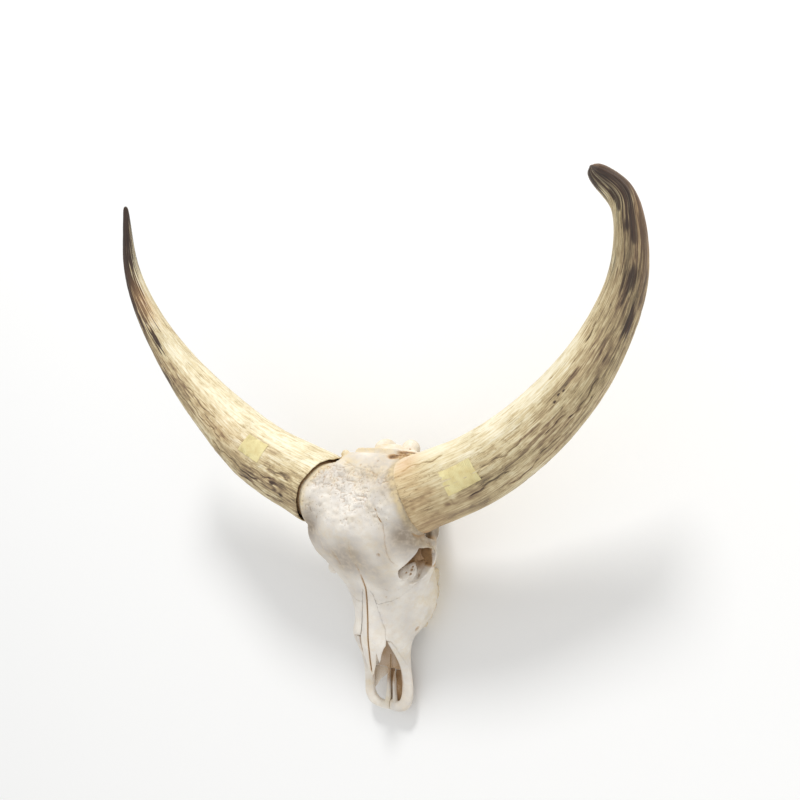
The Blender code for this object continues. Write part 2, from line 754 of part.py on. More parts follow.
def jaw_prism(name, front, gap, low_x, high_x):
    """From a front outline (y, z), bottom to top, back to the joint behind the upper jaws."""
    reach, swing = np.array(CHEEK_SWING, float).T
    bends = [sign * x for sign in (-1, 1) for x in reach]
    across = sorted({low_x, high_x, *(x for x in bends if low_x < x < high_x)})
    rings = []
    for x in across:
        back = np.array(JAW_BACK, float) + gap
        back[:CHEEK_POINTS, 0] += np.interp(abs(x), reach, swing)
        outline = np.concatenate([front, back])
        rings.append(np.column_stack([np.full(len(outline), x), outline]))
    return closed_body(name, rings, ends="flat")


def build():
    clear_scene()
    bone = material("bleached_bone", (0.83, 0.78, 0.68), 0.62)
    keratin = material("horn_keratin", (0.62, 0.52, 0.34), 0.45)
    paper = material("paper_tape", (0.86, 0.82, 0.52), 0.7)

    skull = fused("skull", [cut_away(whole_skull(), hollows())], FINAL_VOXEL, rounds=1)
    skull = largest_part(thinned(skull, SKULL_KEEP))
    cut_away(skull, [block("ground", (-400, -700, -200), (400, 300, 0))])
    pieces = {}
    for side, sign in (("left", 1), ("right", -1)):
        sheath = horn_sheath(side)
        nasal = nasal_bone(sign)
        nasal_seat = grown(nasal, "nasal_seat", SUTURE_GAP * 1.6)
        sheath_seat = grown(sheath, "sheath_seat", SEAT_GAP)
        cut_away(skull, [nasal_seat, sheath_seat])
        pieces[f"horn_{side}"] = sheath
        pieces[f"nasal_{side}"] = nasal
        pieces[f"premaxilla_{side}"] = premaxilla(sign)

    front = [*reversed(NOSE_SUTURE), (NOSE_SUTURE[0][0], 400)]
    for side, low, high in (("left", SUTURE_GAP / 2, 300.0), ("right", -300.0, -SUTURE_GAP / 2)):
        jaw = copy_of(skull, f"upper_jaw_{side}")
        region = jaw_prism("jaw_region", front, 0.0, low, high)
        boolean(jaw, region, "INTERSECT")
        bpy.data.objects.remove(region)
        pieces[f"upper_jaw_{side}"] = largest_part(jaw)
    room = jaw_prism("jaw_room", [(-600, -60), (-600, 400)], SUTURE_GAP, -300.0, 300.0)
    pieces["cranium"] = largest_part(cut_away(skull, [room]))

    for side in HORNS:
        pieces[f"label_{side}"] = label(side)
    finishes = {"horn": keratin, "label": paper}
    for name, piece in pieces.items():
        finish_piece(piece, name, finishes.get(name.split("_")[0], bone))


build()
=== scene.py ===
"""The looks of a long-horned cow's skull: bleached bones, two weathered horn sheaths, two paper slips.

The part's frame is +Z up, nose towards -Y and the animal's left at +X. Inside this file lengths are
millimetres, and y is 0 just behind the poll, as in a skull's own measures. placed() turns such
points into the part's frame.

The bony masses are smooth skins worked out on grids. They overlap, are fused by a voxel remesh,
and their creases are eased. Pits, grooves, ridges and sutures are then carved into the fused skin
as fields over its points. The sheaths are grids round a bent centre line, with the wrinkles,
splits and flakes of the horn in the grid itself.
"""

import math
from functools import partial

import bpy
import numpy as np
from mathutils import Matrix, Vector


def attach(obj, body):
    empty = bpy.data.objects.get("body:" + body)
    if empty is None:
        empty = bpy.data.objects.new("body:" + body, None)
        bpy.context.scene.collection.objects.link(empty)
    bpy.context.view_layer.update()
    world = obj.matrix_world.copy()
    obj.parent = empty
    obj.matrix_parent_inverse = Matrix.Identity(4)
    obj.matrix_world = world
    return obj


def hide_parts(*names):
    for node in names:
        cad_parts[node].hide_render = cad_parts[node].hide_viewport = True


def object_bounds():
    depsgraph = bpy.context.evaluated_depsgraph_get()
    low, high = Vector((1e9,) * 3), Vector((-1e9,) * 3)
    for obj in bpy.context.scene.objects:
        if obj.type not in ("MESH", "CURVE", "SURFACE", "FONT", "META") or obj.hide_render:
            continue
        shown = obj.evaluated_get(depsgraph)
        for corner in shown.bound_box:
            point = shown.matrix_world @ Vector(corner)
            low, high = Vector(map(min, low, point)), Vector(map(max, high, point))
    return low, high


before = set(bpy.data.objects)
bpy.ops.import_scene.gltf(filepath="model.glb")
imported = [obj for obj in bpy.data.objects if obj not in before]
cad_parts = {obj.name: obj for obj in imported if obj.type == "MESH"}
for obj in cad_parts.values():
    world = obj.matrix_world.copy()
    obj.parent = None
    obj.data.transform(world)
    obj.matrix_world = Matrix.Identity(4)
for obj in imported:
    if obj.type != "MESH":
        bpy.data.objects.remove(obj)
CAD_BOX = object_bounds()

MM = 0.001

# The front edge of the premaxillae lies this far in front of the poll, and at the CAD's nose.
NOSE_TO_POLL = 483.1
POLL = np.array([0.0, CAD_BOX[0].y / MM + NOSE_TO_POLL, 0.0])

# The two sides of the head, the animal's own, and the sign of x on each.
SIDES = {"left": 1, "right": -1}


def placed(points):
    """Millimetres from the poll to metres in the part's frame."""
    return (np.asarray(points, float) + POLL) * MM


def new_object(name, data):
    """An object in the scene, unturned and at the origin."""
    made = bpy.data.objects.new(name, data)
    bpy.context.scene.collection.objects.link(made)
    return made


# ---------------------------------------------------------------- camera, floor and light

# The camera's place, its turns about x, y and z in degrees, and its focal length for a sensor 36 mm wide.
CAMERA_PLACE = (769.3, -100.5, 1315.5)
CAMERA_TURN = (11.31011, 31.33915, 6.24218)
CAMERA_LENS, SENSOR = 33.854, 36.0

# Each lamp's place and aim in metres, its width in metres and its power in watts.
BACK_LAMP = ((0.3, 4.8, 3.7), (0.0, -0.1, 0.2), 1.25, 198.0)
FRONT_LAMP = ((2.0, -1.6, 2.6), (0.0, -0.2, 0.1), 2.6, 5.0)
SKY_STRENGTH = 0.75
# Metres from the floor's middle to each edge.
FLOOR_REACH = 40.0


def make_camera():
    """The camera, at the photograph's viewing angle."""
    camera = bpy.data.cameras.new("camera")
    camera.sensor_width = SENSOR
    camera.lens = CAMERA_LENS
    camera.clip_start = 0.05
    camera.clip_end = 50.0
    stand = new_object("camera", camera)
    stand.location = placed(CAMERA_PLACE)
    stand.rotation_euler = [math.radians(angle) for angle in CAMERA_TURN]
    bpy.context.scene.camera = stand


def make_lamp(name, place, target, width, power):
    """A round soft lamp at a place, aimed at a target."""
    lamp = bpy.data.lights.new(name, "AREA")
    lamp.shape = "DISK"
    lamp.size = width
    lamp.energy = power
    stand = new_object(name, lamp)
    stand.location = place
    aim = Vector(target) - Vector(place)
    stand.rotation_euler = aim.to_track_quat("-Z", "Y").to_euler()


def make_studio():
    """A plain pale floor under a soft lamp behind the skull, a weaker one before it and a pale sky."""
    corners = np.array([(-1, -1, 0), (1, -1, 0), (1, 1, 0), (-1, 1, 0)]) * FLOOR_REACH
    mesh = bpy.data.meshes.new("floor")
    mesh.from_pydata(corners.tolist(), [], [(0, 1, 2, 3)])
    mesh.materials.append(matt_floor())
    new_object("floor", mesh)

    make_lamp("back_lamp", *BACK_LAMP)
    make_lamp("front_lamp", *FRONT_LAMP)
    sky = bpy.data.worlds.new("sky")
    bpy.context.scene.world = sky
    sky.use_nodes = True
    light = sky.node_tree.nodes["Background"]
    light.inputs["Color"].default_value = (1.0, 1.0, 1.0, 1.0)
    light.inputs["Strength"].default_value = SKY_STRENGTH
    bpy.context.scene.view_settings.view_transform = "Standard"


# ---------------------------------------------------------------- curves, noise and grids

# Large odd numbers that scatter the noise's whole numbers: one for each axis, the seed and the sum.
AXIS_FACTORS = np.array([73856093, 19349663, 83492791])
SEED_FACTOR, SUM_FACTOR = 2654435761, 1274126177
# Steps in x of a cutter's faces.
CUTTER_STEP = 1.6


def smooth_rows(rows, count):
    """count rows along a cubic curve through the given rows, with Catmull-Rom slopes."""
    rows = np.asarray(rows, float)
    slope = np.gradient(rows, axis=0)
    at = np.linspace(0, len(rows) - 1, count)
    low = np.minimum(at.astype(int), len(rows) - 2)
    t = (at - low)[:, None]
    a, b, slope_a, slope_b = rows[low], rows[low + 1], slope[low], slope[low + 1]
    return (
        (2 * t**3 - 3 * t**2 + 1) * a
        + (t**3 - 2 * t**2 + t) * slope_a
        + (3 * t**2 - 2 * t**3) * b
        + (t**3 - t**2) * slope_b
    )


def step(low, high, value):
    """Smooth step: 0 at low, 1 at high, and 3t^2 - 2t^3 between them. low may be the larger of the two."""
    t = np.clip((value - low) / (high - low), 0, 1)
    return t * t * (3 - 2 * t)


def bell(distance, width):
    """Gaussian bell: 1 at no distance, about 0.37 at one width."""
    return np.exp(-((distance / width) ** 2))


def lattice_noise(points, size, seed=0):
    """Value noise, -1 to 1: random values at the corners of cells of the given size, blended smoothly."""
    cell = points / size
    low = np.floor(cell).astype(np.int64)
    t = cell - low
    t = t * t * (3 - 2 * t)
    total = np.zeros(len(points))
    for corner in np.ndindex(2, 2, 2):
        key = (low + corner) @ AXIS_FACTORS + seed * SEED_FACTOR
        key = (key ^ (key >> 13)) * SUM_FACTOR
        value = ((key ^ (key >> 16)) & 0xFFFF) / 32767.5 - 1
        total += value * np.prod(np.where(corner, t, 1 - t), axis=1)
    return total


def layered_noise(points, size, layers=3, seed=0):
    """Sum of value noises, each half the size and half the height of the one before."""
    return sum(lattice_noise(points, size / 2**i, seed + i) / 2**i for i in range(layers))


def signed_power(value, power):
    """The value's size raised to a power, with the value's own sign."""
    return np.sign(value) * np.abs(value) ** power


def oval(sides, up_power, down_power):
    """Unit superellipse: x and z at each angle, with one power above the middle and one below."""
    angle = np.linspace(0, 2 * math.pi, sides, endpoint=False)
    power = 2 / np.where(np.sin(angle) >= 0, up_power, down_power)
    return signed_power(np.cos(angle), power), signed_power(np.sin(angle), power)


def arc_length(line):
    """Distance along a line of points from its first point to each."""
    return np.r_[0, np.cumsum(np.linalg.norm(np.diff(line, axis=0), axis=1))]


def even_line(corners, count):
    """count points at even steps along a line through corners."""
    corners = np.asarray(corners, float)
    length = arc_length(corners)
    at = np.linspace(0, length[-1], count)
    return np.column_stack([np.interp(at, length, column) for column in corners.T])


def tube(rings, ends="fan"):
    """Points and triangles of a closed skin over rings of points, given as rings x sides x 3.

    Each end is a fan about the ring's middle, or a strip between the first half of the ring and
    the second half, which runs back beside it. Triangles face outwards.
    """
    rings = np.asarray(rings, float)
    count, sides = rings.shape[:2]
    i = np.arange(sides)
    j = (i + 1) % sides
    row = np.arange(count - 1)[:, None] * sides
    here_i, here_j, next_i, next_j = (np.ravel(row + k) for k in (i, j, i + sides, j + sides))
    sheets = [np.stack([here_i, here_j, next_j], 1), np.stack([here_i, next_j, next_i], 1)]
    last = (count - 1) * sides
    points = rings.reshape(-1, 3)
    if ends == "fan":
        points = np.concatenate([points, [rings[0].mean(0), rings[-1].mean(0)]])
        sheets.append(np.stack([j, i, np.full(sides, count * sides)], 1))
        sheets.append(np.stack([last + i, last + j, np.full(sides, count * sides + 1)], 1))
    else:
        near = np.arange(sides // 2 - 1)
        far = sides - 1 - near
        for start, turn_round in ((0, True), (last, False)):
            for sheet in (np.stack([near, near + 1, far - 1], 1), np.stack([near, far - 1, far], 1)):
                sheets.append(start + (sheet[:, ::-1] if turn_round else sheet))
    faces = np.concatenate(sheets)
    a, b, c = (points[faces[:, k]] for k in range(3))
    if np.einsum("ij,ij->", a, np.cross(b, c)) < 0:
        faces = faces[:, ::-1]
    return points, faces


def joined(forms):
    """One list of points and triangles from several."""
    starts = np.cumsum([0] + [len(points) for points, _ in forms[:-1]])
    points = np.concatenate([points for points, _ in forms])
    return points, np.concatenate([faces + start for start, (_, faces) in zip(starts, forms)])


def lengthwise(rows, rings=100, sides=120, up_power=2.2, down_power=2.4):
    """Superelliptic cross sections along y. Each row is y, middle height, half width, rise, drop."""
    table = smooth_rows(rows, rings)
    x, z = oval(sides, up_power, down_power)
    lift = np.where(z >= 0, table[:, 3:4] * z, table[:, 4:5] * z)
    y = np.repeat(table[:, 0:1], sides, axis=1)
    return tube(np.stack([table[:, 2:3] * x, y, table[:, 1:2] + lift], axis=2))


def skin(rows, rings=140, sides=200):
    """Cross sections along y. Each row is y and half a section's corners, from top to bottom.

    Each half is mirrored, and the corners are joined by a closed Catmull-Rom curve.
    """
    halves = np.array([half for _, half in rows], float)
    levels = smooth_rows([[y] for y, _ in rows], rings)
    halves = smooth_rows(halves.reshape(len(rows), -1), rings).reshape(rings, -1, 2)
    fineness = 40
    made = []
    for y, half in zip(levels[:, 0], halves):
        whole = np.concatenate([half, half[-2:0:-1] * (-1, 1)])
        # Two more corners before the first and after the last carry the curve smoothly round.
        wrapped = np.concatenate([whole[-2:], whole, whole[:3]])
        fine = smooth_rows(wrapped, (len(wrapped) - 1) * fineness + 1)[2 * fineness:-2 * fineness]
        ring = fine[np.linspace(0, len(fine) - 1, sides, endpoint=False).astype(int)]
        made.append(np.column_stack([ring[:, 0], np.full(sides, y), ring[:, 1]]))
    return tube(made)


def path_frames(path, up):
    """Unit tangent, side and upright directions at each point of a path."""
    tangent = np.gradient(path, axis=0)
    tangent /= np.linalg.norm(tangent, axis=1)[:, None]
    side = np.cross(tangent, up)
    side /= np.linalg.norm(side, axis=1)[:, None]
    return tangent, side, np.cross(side, tangent)


def bar(rows, rings=60, sides=48, up=(0, 0, 1), power=2.2):
    """A superelliptic bar along a path. Each row is x, y, z, half breadth, half height."""
    table = smooth_rows(rows, rings)
    _, side, upright = path_frames(table[:, :3], up)
    a, b = oval(sides, power, power)
    return tube(
        table[:, None, :3]
        + side[:, None] * (table[:, 3:4] * a)[..., None]
        + upright[:, None] * (table[:, 4:5] * b)[..., None]
    )


def ribbon(rows, rings=90, sides=48, power=2.6):
    """A flat superelliptic bar between two edges. Each row is x, y, z of both and half the thickness."""
    table = smooth_rows(rows, rings)
    middle, reach = (table[:, :3] + table[:, 3:6]) / 2, (table[:, 3:6] - table[:, :3]) / 2
    normal = np.cross(reach, np.gradient(middle, axis=0))
    normal *= table[:, 6:7] / np.linalg.norm(normal, axis=1)[:, None]
    a, b = oval(sides, power, power)
    return tube(middle[:, None] + reach[:, None] * a[:, None] + normal[:, None] * b[:, None])


def turn(degrees):
    """Rotation matrix: about x, then y, then z."""
    rx, ry, rz = np.radians(degrees)
    x = np.array([[1, 0, 0], [0, math.cos(rx), -math.sin(rx)], [0, math.sin(rx), math.cos(rx)]])
    y = np.array([[math.cos(ry), 0, math.sin(ry)], [0, 1, 0], [-math.sin(ry), 0, math.cos(ry)]])
    z = np.array([[math.cos(rz), -math.sin(rz), 0], [math.sin(rz), math.cos(rz), 0], [0, 0, 1]])
    return z @ y @ x


def egg(centre, radii, tilt=(0.0, 0.0, 0.0), rings=40, sides=64):
    """An ellipsoid with half axes radii, turned by tilt degrees about x, y and z."""
    polar = np.linspace(0, math.pi, rings + 2)[1:-1]
    around = np.linspace(0, 2 * math.pi, sides, endpoint=False)
    x, y = np.outer(np.sin(polar), np.cos(around)), np.outer(np.sin(polar), np.sin(around))
    z = np.repeat(np.cos(polar)[:, None], sides, axis=1)
    return tube((np.stack([x, y, z], axis=2) * radii) @ turn(tilt).T + centre)


def sheet_cutter(outline, across, low, high):
    """A prism from low to high in x, whose (y, z) outline moves with x as across(x, outline) says."""
    rings = []
    for x in np.linspace(low, high, max(2, int((high - low) / CUTTER_STEP))):
        ring = across(x, np.asarray(outline, float))
        rings.append(np.column_stack([np.full(len(ring), x), ring]))
    return tube(rings, ends="strip")


def box(low, high):
    """A plain block between two corners."""
    y = np.array([low[1], high[1], high[1], low[1]])
    z = np.array([low[2], low[2], high[2], high[2]])
    return tube([np.column_stack([np.full(4, x), y, z]) for x in (low[0], high[0])], ends="strip")


def both_sides(make, rows, **settings):
    """The left-hand form and its mirror image, for rows that start with x."""
    rows = np.asarray(rows, float)
    mirrored = rows * np.r_[-1, np.ones(rows.shape[-1] - 1)]
    return [make(rows, **settings), make(mirrored, **settings)]


def both_eggs(centre, radii, tilt=(0.0, 0.0, 0.0)):
    """The left-hand ellipsoid and its mirror image."""
    x, y, z = centre
    rx, ry, rz = tilt
    return [egg(centre, radii, tilt), egg((-x, y, z), radii, (rx, -ry, -rz))]


# ---------------------------------------------------------------- meshes


def mesh_object(name, form):
    """An object at the origin from points in millimetres and triangles."""
    points, faces = form
    mesh = bpy.data.meshes.new(name)
    mesh.vertices.add(len(points))
    mesh.vertices.foreach_set("co", placed(points).ravel())
    mesh.loops.add(faces.size)
    mesh.loops.foreach_set("vertex_index", faces.ravel())
    mesh.polygons.add(len(faces))
    mesh.polygons.foreach_set("loop_start", np.arange(len(faces)) * 3)
    mesh.update(calc_edges=True)
    return new_object(name, mesh)


def read(items, name, width, kind=float):
    """A property of each item of a mesh, as rows of width numbers."""
    flat = np.empty(len(items) * width, kind)
    items.foreach_get(name, flat)
    return flat.reshape(-1, width)


def points_of(body):
    """The body's points in millimetres from the poll."""
    return read(body.data.vertices, "co", 3) / MM - POLL


def normals_of(body):
    """The outward unit normal at each of the body's points."""
    return read(body.data.vertices, "normal", 3)


def edges_of(body):
    """The numbers of the two points of each edge."""
    return read(body.data.edges, "vertices", 2, int)


def faces_of(body):
    """The numbers of the three points of each triangle."""
    body.data.calc_loop_triangles()
    return read(body.data.loop_triangles, "vertices", 3, int)


def move_points(body, points):
    """Puts the body's points at new places."""
    body.data.vertices.foreach_set("co", placed(points).ravel())
    body.data.update()


def form_of(body):
    """Points in millimetres and triangles of an object, which is then removed."""
    form = points_of(body), faces_of(body)
    bpy.data.objects.remove(body)
    return form


def apply_modifiers(body):
    """Puts what the body's modifiers make of its mesh in the mesh's place."""
    graph = bpy.context.evaluated_depsgraph_get()
    body.data = bpy.data.meshes.new_from_object(body.evaluated_get(graph))
    body.modifiers.clear()


def fused(name, forms, voxel, rounds):
    """Overlapping forms remeshed into one skin on a grid of voxels, then eased a few rounds."""
    whole = mesh_object(name, joined(forms))
    remesh = whole.modifiers.new("fuse", "REMESH")
    remesh.mode = "VOXEL"
    remesh.voxel_size = voxel * MM
    ease = whole.modifiers.new("ease", "SMOOTH")
    ease.factor = 0.5
    ease.iterations = rounds
    apply_modifiers(whole)
    return whole


def eased(values, edges, rounds, share):
    """Moves each point a share of the way to the mean of its neighbours, round after round."""
    count = np.bincount(edges.ravel(), minlength=len(values))[:, None]
    a, b = edges.T
    for _ in range(rounds):
        total = [
            np.bincount(a, column[b], len(values)) + np.bincount(b, column[a], len(values))
            for column in values.T
        ]
        values = values + share * (np.stack(total, axis=1) / count - values)
    return values


def combine(body, form, operation):
    """Cuts the body with a form, or keeps what lies inside it. Both are closed skins."""
    tool = mesh_object("tool", form)
    cut = body.modifiers.new("cut", "BOOLEAN")
    cut.operation = operation
    cut.solver = "MANIFOLD"
    cut.object = tool
    apply_modifiers(body)
    bpy.data.objects.remove(tool)


def thinned(body, most):
    """Drops the flattest points until the body has at most so many triangles."""
    count = len(faces_of(body))
    if count > most:
        fewer = body.modifiers.new("thin", "DECIMATE")
        fewer.ratio = most / count
        fewer.use_collapse_triangulate = True
        apply_modifiers(body)


def largest_part(body):
    """The form of whatever edges join to the body's largest part, without crumbs. The body is removed."""
    edges = edges_of(body)
    points, faces = form_of(body)
    label = np.arange(len(points))
    while True:
        low = np.minimum(label[edges[:, 0]], label[edges[:, 1]])
        before = label.copy()
        np.minimum.at(label, edges[:, 0], low)
        np.minimum.at(label, edges[:, 1], low)
        label = label[label]
        if np.array_equal(label, before):
            break
    kept = label == np.argmax(np.bincount(label))
    number = np.cumsum(kept) - 1
    return points[kept], number[faces[kept[faces[:, 0]]]]


def normals_at(points, faces):
    """Outward unit normal of each point of a closed skin: the mean of its triangles' normals."""
    a, b, c = (points[faces[:, k]] for k in range(3))
    flat = np.cross(b - a, c - a)
    total = [sum(np.bincount(faces[:, k], flat[:, axis], len(points)) for k in range(3)) for axis in range(3)]
    total = np.stack(total, axis=1)
    return total / np.maximum(np.linalg.norm(total, axis=1), 1e-12)[:, None]


def paint(body, name, values):
    """Stores a number or a vector for each point, which a material reads by name."""
    values = np.asarray(values, np.float32)
    kind, property_name = ("FLOAT", "value") if values.ndim == 1 else ("FLOAT_VECTOR", "vector")
    layer = body.data.attributes.new(name, kind, "POINT")
    layer.data.foreach_set(property_name, values.ravel())


# ---------------------------------------------------------------- horns' centre lines

# Centre line (x outward) from the rim to the tip, and the radii at RADII_AT along it.
HORNS = {
    "left": {
        "line": [
            (104, -79, 183),
            (234, -25, 204),
            (340, 48, 225),
            (426, 135, 260),
            (484, 233, 306),
            (495, 319, 363),
            (467, 351, 431),
        ],
        "radii": [67, 58, 47.5, 33, 20.5, 17.8, 14.2, 9.6, 4],
    },
    "right": {
        "line": [
            (106, -79, 183),
            (233, -24, 209),
            (338, 48, 228),
            (427, 135, 262),
            (485, 231, 312),
            (496, 323, 368),
            (459, 423, 430),
        ],
        "radii": [69, 60, 46, 29.5, 17, 10.6, 7, 5, 3.2],
    },
}
RADII_AT = (0, 0.2, 0.4, 0.6, 0.8, 0.9, 0.96, 0.99, 1.0)
# Thickness of a sheath's wall in its socket and at its rim, the socket's depth, and the bone's play in it.
SHEATH_WALL, RIM_WALL = 5.0, 2.4
SOCKET_DEPTH = 34.0
CORE_CLEARANCE = 3.0

# Where the rim of each sheath lies: angle in degrees (0 on top, 90 on the nose side, -90 on the inner
# side) and place along the horn. NECK is how far the bone draws in under the rim.
RIM = {
    "left": (
        (-180, -8), (-90, 0), (-64, 5), (-45, 7), (-13, 14),
        (20, 17), (56, 9), (74, 3), (110, -5), (180, -8),
    ),
    "right": (
        (-180, -12), (-84, -14), (-65, -8), (-47, -1), (-18, 4), (0, 6),
        (22, 2), (45, -3), (75, -6), (120, -10), (180, -12),
    ),
}
NECK = {"left": 5.0, "right": 8.5}


def horn_spine(side, count):
    """Centre points and radii along one horn, at even steps of the curve's own parameter."""
    line = smooth_rows(HORNS[side]["line"], count) * (SIDES[side], 1, 1)
    at, radius = smooth_rows(np.column_stack([RADII_AT, HORNS[side]["radii"]]), 600).T
    return line, np.interp(np.linspace(0, 1, count), at, radius)


def rim_shift(side, angle):
    """How far along the horn the rim lies at each angle in degrees: a smooth closed curve through RIM."""
    at, shift = smooth_rows(RIM[side], 300).T
    return np.interp(angle, at, shift, period=360)


# ---------------------------------------------------------------- the bones' masses

# Front of the cheek teeth, their lengths from front to back, and the line of their cheek sides (y, x).
TOOTH_FRONT, TOOTH_LENGTHS = -326.0, (17, 19, 20, 28, 31, 33)
TOOTH_LINE = ((-326, 52), (-310, 60), (-290, 68), (-271, 73), (-250, 75), (-228, 72), (-201, 63), (-178, 52))
TOOTH_TOP, TOOTH_FOOT = 52.0, -6.0
# How far a tooth leans inwards at each height, from its foot up.
TOOTH_LEAN = ((-8, 6), (8, 4), (26, 1), (52, 2))
TOOTH_SIDES = 72
RIB_PLACES, RIB_HEIGHT, RIB_WIDTH = (-0.42, 0.02, 0.42), 1.7, 2.0

# The mouth of the left eye socket: its middle, the way that it faces, its length and its height.
ORBIT_CENTRE = np.array((105.0, -201.0, 147.0))
ORBIT_FACING = np.array((0.86, -0.50, 0.14))
ORBIT_LENGTH, ORBIT_HEIGHT = 76.0, 66.0


def forehead():
    """The flat frontal bones, from the poll over the orbits to the nasal root."""
    rows = [
        (-10, [(0, 196), (22, 194), (40, 187), (50, 176), (50, 158), (34, 142), (0, 138)]),
        (-22, [(0, 208), (28, 207), (48, 202), (64, 190), (70, 170), (56, 148), (0, 140)]),
        (-45, [(0, 222), (34, 222), (62, 218), (82, 206), (86, 184), (70, 156), (0, 140)]),
        (-81, [(0, 232), (38, 232), (70, 229), (92, 216), (94, 190), (80, 164), (0, 140)]),
        (-120, [(0, 235), (40, 234), (76, 228), (102, 212), (110, 190), (94, 166), (0, 140)]),
        (-150, [(0, 231), (40, 229), (76, 220), (104, 204), (117, 186), (102, 162), (0, 140)]),
        (-170, [(0, 222), (38, 220), (72, 212), (100, 199), (115, 186), (102, 162), (0, 130)]),
        (-190, [(0, 209), (36, 206), (66, 199), (90, 190), (104, 181), (92, 156), (0, 120)]),
        (-208, [(0, 192), (34, 190), (58, 185), (76, 179), (90, 171), (80, 146), (0, 110)]),
        (-228, [(0, 172), (30, 171), (50, 166), (66, 160), (76, 150), (68, 128), (0, 100)]),
        (-250, [(0, 153), (28, 151), (44, 145), (58, 136), (66, 124), (58, 106), (0, 90)]),
    ]
    return skin(rows)


def face():
    """The upper jaws from the orbits to the nasal opening, with the facial tubers."""
    rows = [
        (-178, [(0, 160), (34, 158), (60, 140), (66, 110), (62, 70), (54, 34), (0, 36)]),
        (-205, [(0, 166), (38, 162), (68, 140), (82, 110), (78, 70), (66, 30), (0, 30)]),
        (-235, [(0, 162), (34, 159), (62, 147), (81, 124), (85, 90), (78, 30), (0, 27)]),
        (-262, [(0, 147), (32, 143), (54, 128), (71, 102), (79, 70), (80, 29), (0, 27)]),
        (-290, [(0, 137), (30, 131), (50, 112), (66, 88), (76, 60), (76, 30), (0, 27)]),
        (-318, [(0, 128), (29, 122), (44, 106), (59, 86), (66, 60), (60, 32), (0, 30)]),
        (-345, [(0, 119), (28, 113), (42, 98), (54, 82), (54, 58), (42, 34), (0, 32)]),
        (-375, [(0, 80), (31, 80), (41, 68), (48, 56), (47, 43), (37, 30), (0, 30)]),
        (-408, [(0, 50), (28, 50), (40, 48), (48, 42), (46, 32), (36, 24), (0, 23)]),
        (-426, [(0, 44), (26, 44), (40, 42), (48, 37), (45, 28), (34, 22), (0, 21)]),
    ]
    return [skin(rows), *both_eggs((68, -297, 60), (10, 26, 13), (0, 0, -22))]


def cheek_teeth():
    """Six ribbed teeth on each side, longer from the first premolar to the last molar.

    Each is a squarish superellipse that leans inwards on its way down. Three ribs stand on its
    cheek side and one groove parts the two lobes of its tongue side, each a bell across y.
    """
    lengths = np.array(TOOTH_LENGTHS, float)
    middles = TOOTH_FRONT + np.cumsum(lengths) - lengths / 2
    outer = np.interp(middles, *np.array(TOOTH_LINE, float).T)
    height = np.linspace(TOOTH_TOP, TOOTH_FOOT, 40)
    lean = np.interp(height, *np.array(TOOTH_LEAN, float).T)
    a, b = oval(TOOTH_SIDES, 3.4, 3.4)
    made = []
    for index, (y, x, size) in enumerate(zip(middles, outer, lengths)):
        half = 8.5 + index * 0.7
        across = y + b * (size / 2 - 0.4)
        ribs = sum(bell(across - y - place * size, RIB_WIDTH) for place in RIB_PLACES)
        groove = bell(across - y, RIB_WIDTH * 1.4)
        wide = a * half + np.where(a > 0, ribs * RIB_HEIGHT * a, groove * RIB_HEIGHT)
        for sign in (1, -1):
            ring = (x - half - lean)[:, None] + wide
            levels = np.repeat(height[:, None], TOOTH_SIDES, 1)
            made.append(tube(np.stack([sign * ring, np.broadcast_to(across, ring.shape), levels], axis=2)))
    return made


def braincase():
    """The round case behind and under the forehead."""
    rows = [
        (2, 128, 60, 40, 44),
        (-40, 130, 68, 50, 52),
        (-100, 130, 62, 50, 48),
        (-150, 130, 50, 50, 44),
        (-196, 120, 42, 50, 44),
    ]
    return lengthwise(rows)


def occiput():
    """Back plate of the head with its lower rim, the base of the braincase, and the ears' bones."""
    plate = egg((0, -30, 142), (84, 26, 62))
    rim = egg((0, -12, 106), (78, 22, 34))
    lintel = egg((0, -1, 112), (38, 18, 22))
    base = bar([(0, 10, 70, 20, 10), (0, -30, 70, 22, 11), (0, -80, 74, 16, 12), (0, -150, 84, 13, 14)])
    bullae = both_eggs((42, -60, 72), (13, 18, 16), (0, 0, 20))
    ears = both_eggs((74, -56, 100), (18, 11, 12))
    return [plate, rim, lintel, base, *bullae, *ears]


def occipital_edges():
    """The sharp nuchal crest, the condyles and the jugular processes."""
    crest_rows = [
        (0, -20, 198, 7, 7),
        (30, -20, 193, 7, 7),
        (53, -14, 181, 7, 7),
        (65, -11, 167, 6, 6),
        (75, -11, 148, 6, 6),
        (88, -20, 126, 7, 8),
        (92, -40, 112, 7, 9),
    ]
    jugular_rows = [
        (74, -26, 112, 13, 24),
        (71, -22, 84, 10, 21),
        (66, -16, 54, 8, 15),
        (61, -11, 24, 6, 9),
        (58, -9, -8, 5, 6),
    ]
    crest = both_sides(bar, crest_rows)
    condyles = both_eggs((28, 9, 84), (18, 19, 25), (0, 22, 0))
    return [*crest, *condyles, *both_sides(bar, jugular_rows, up=(0, 1, 0))]


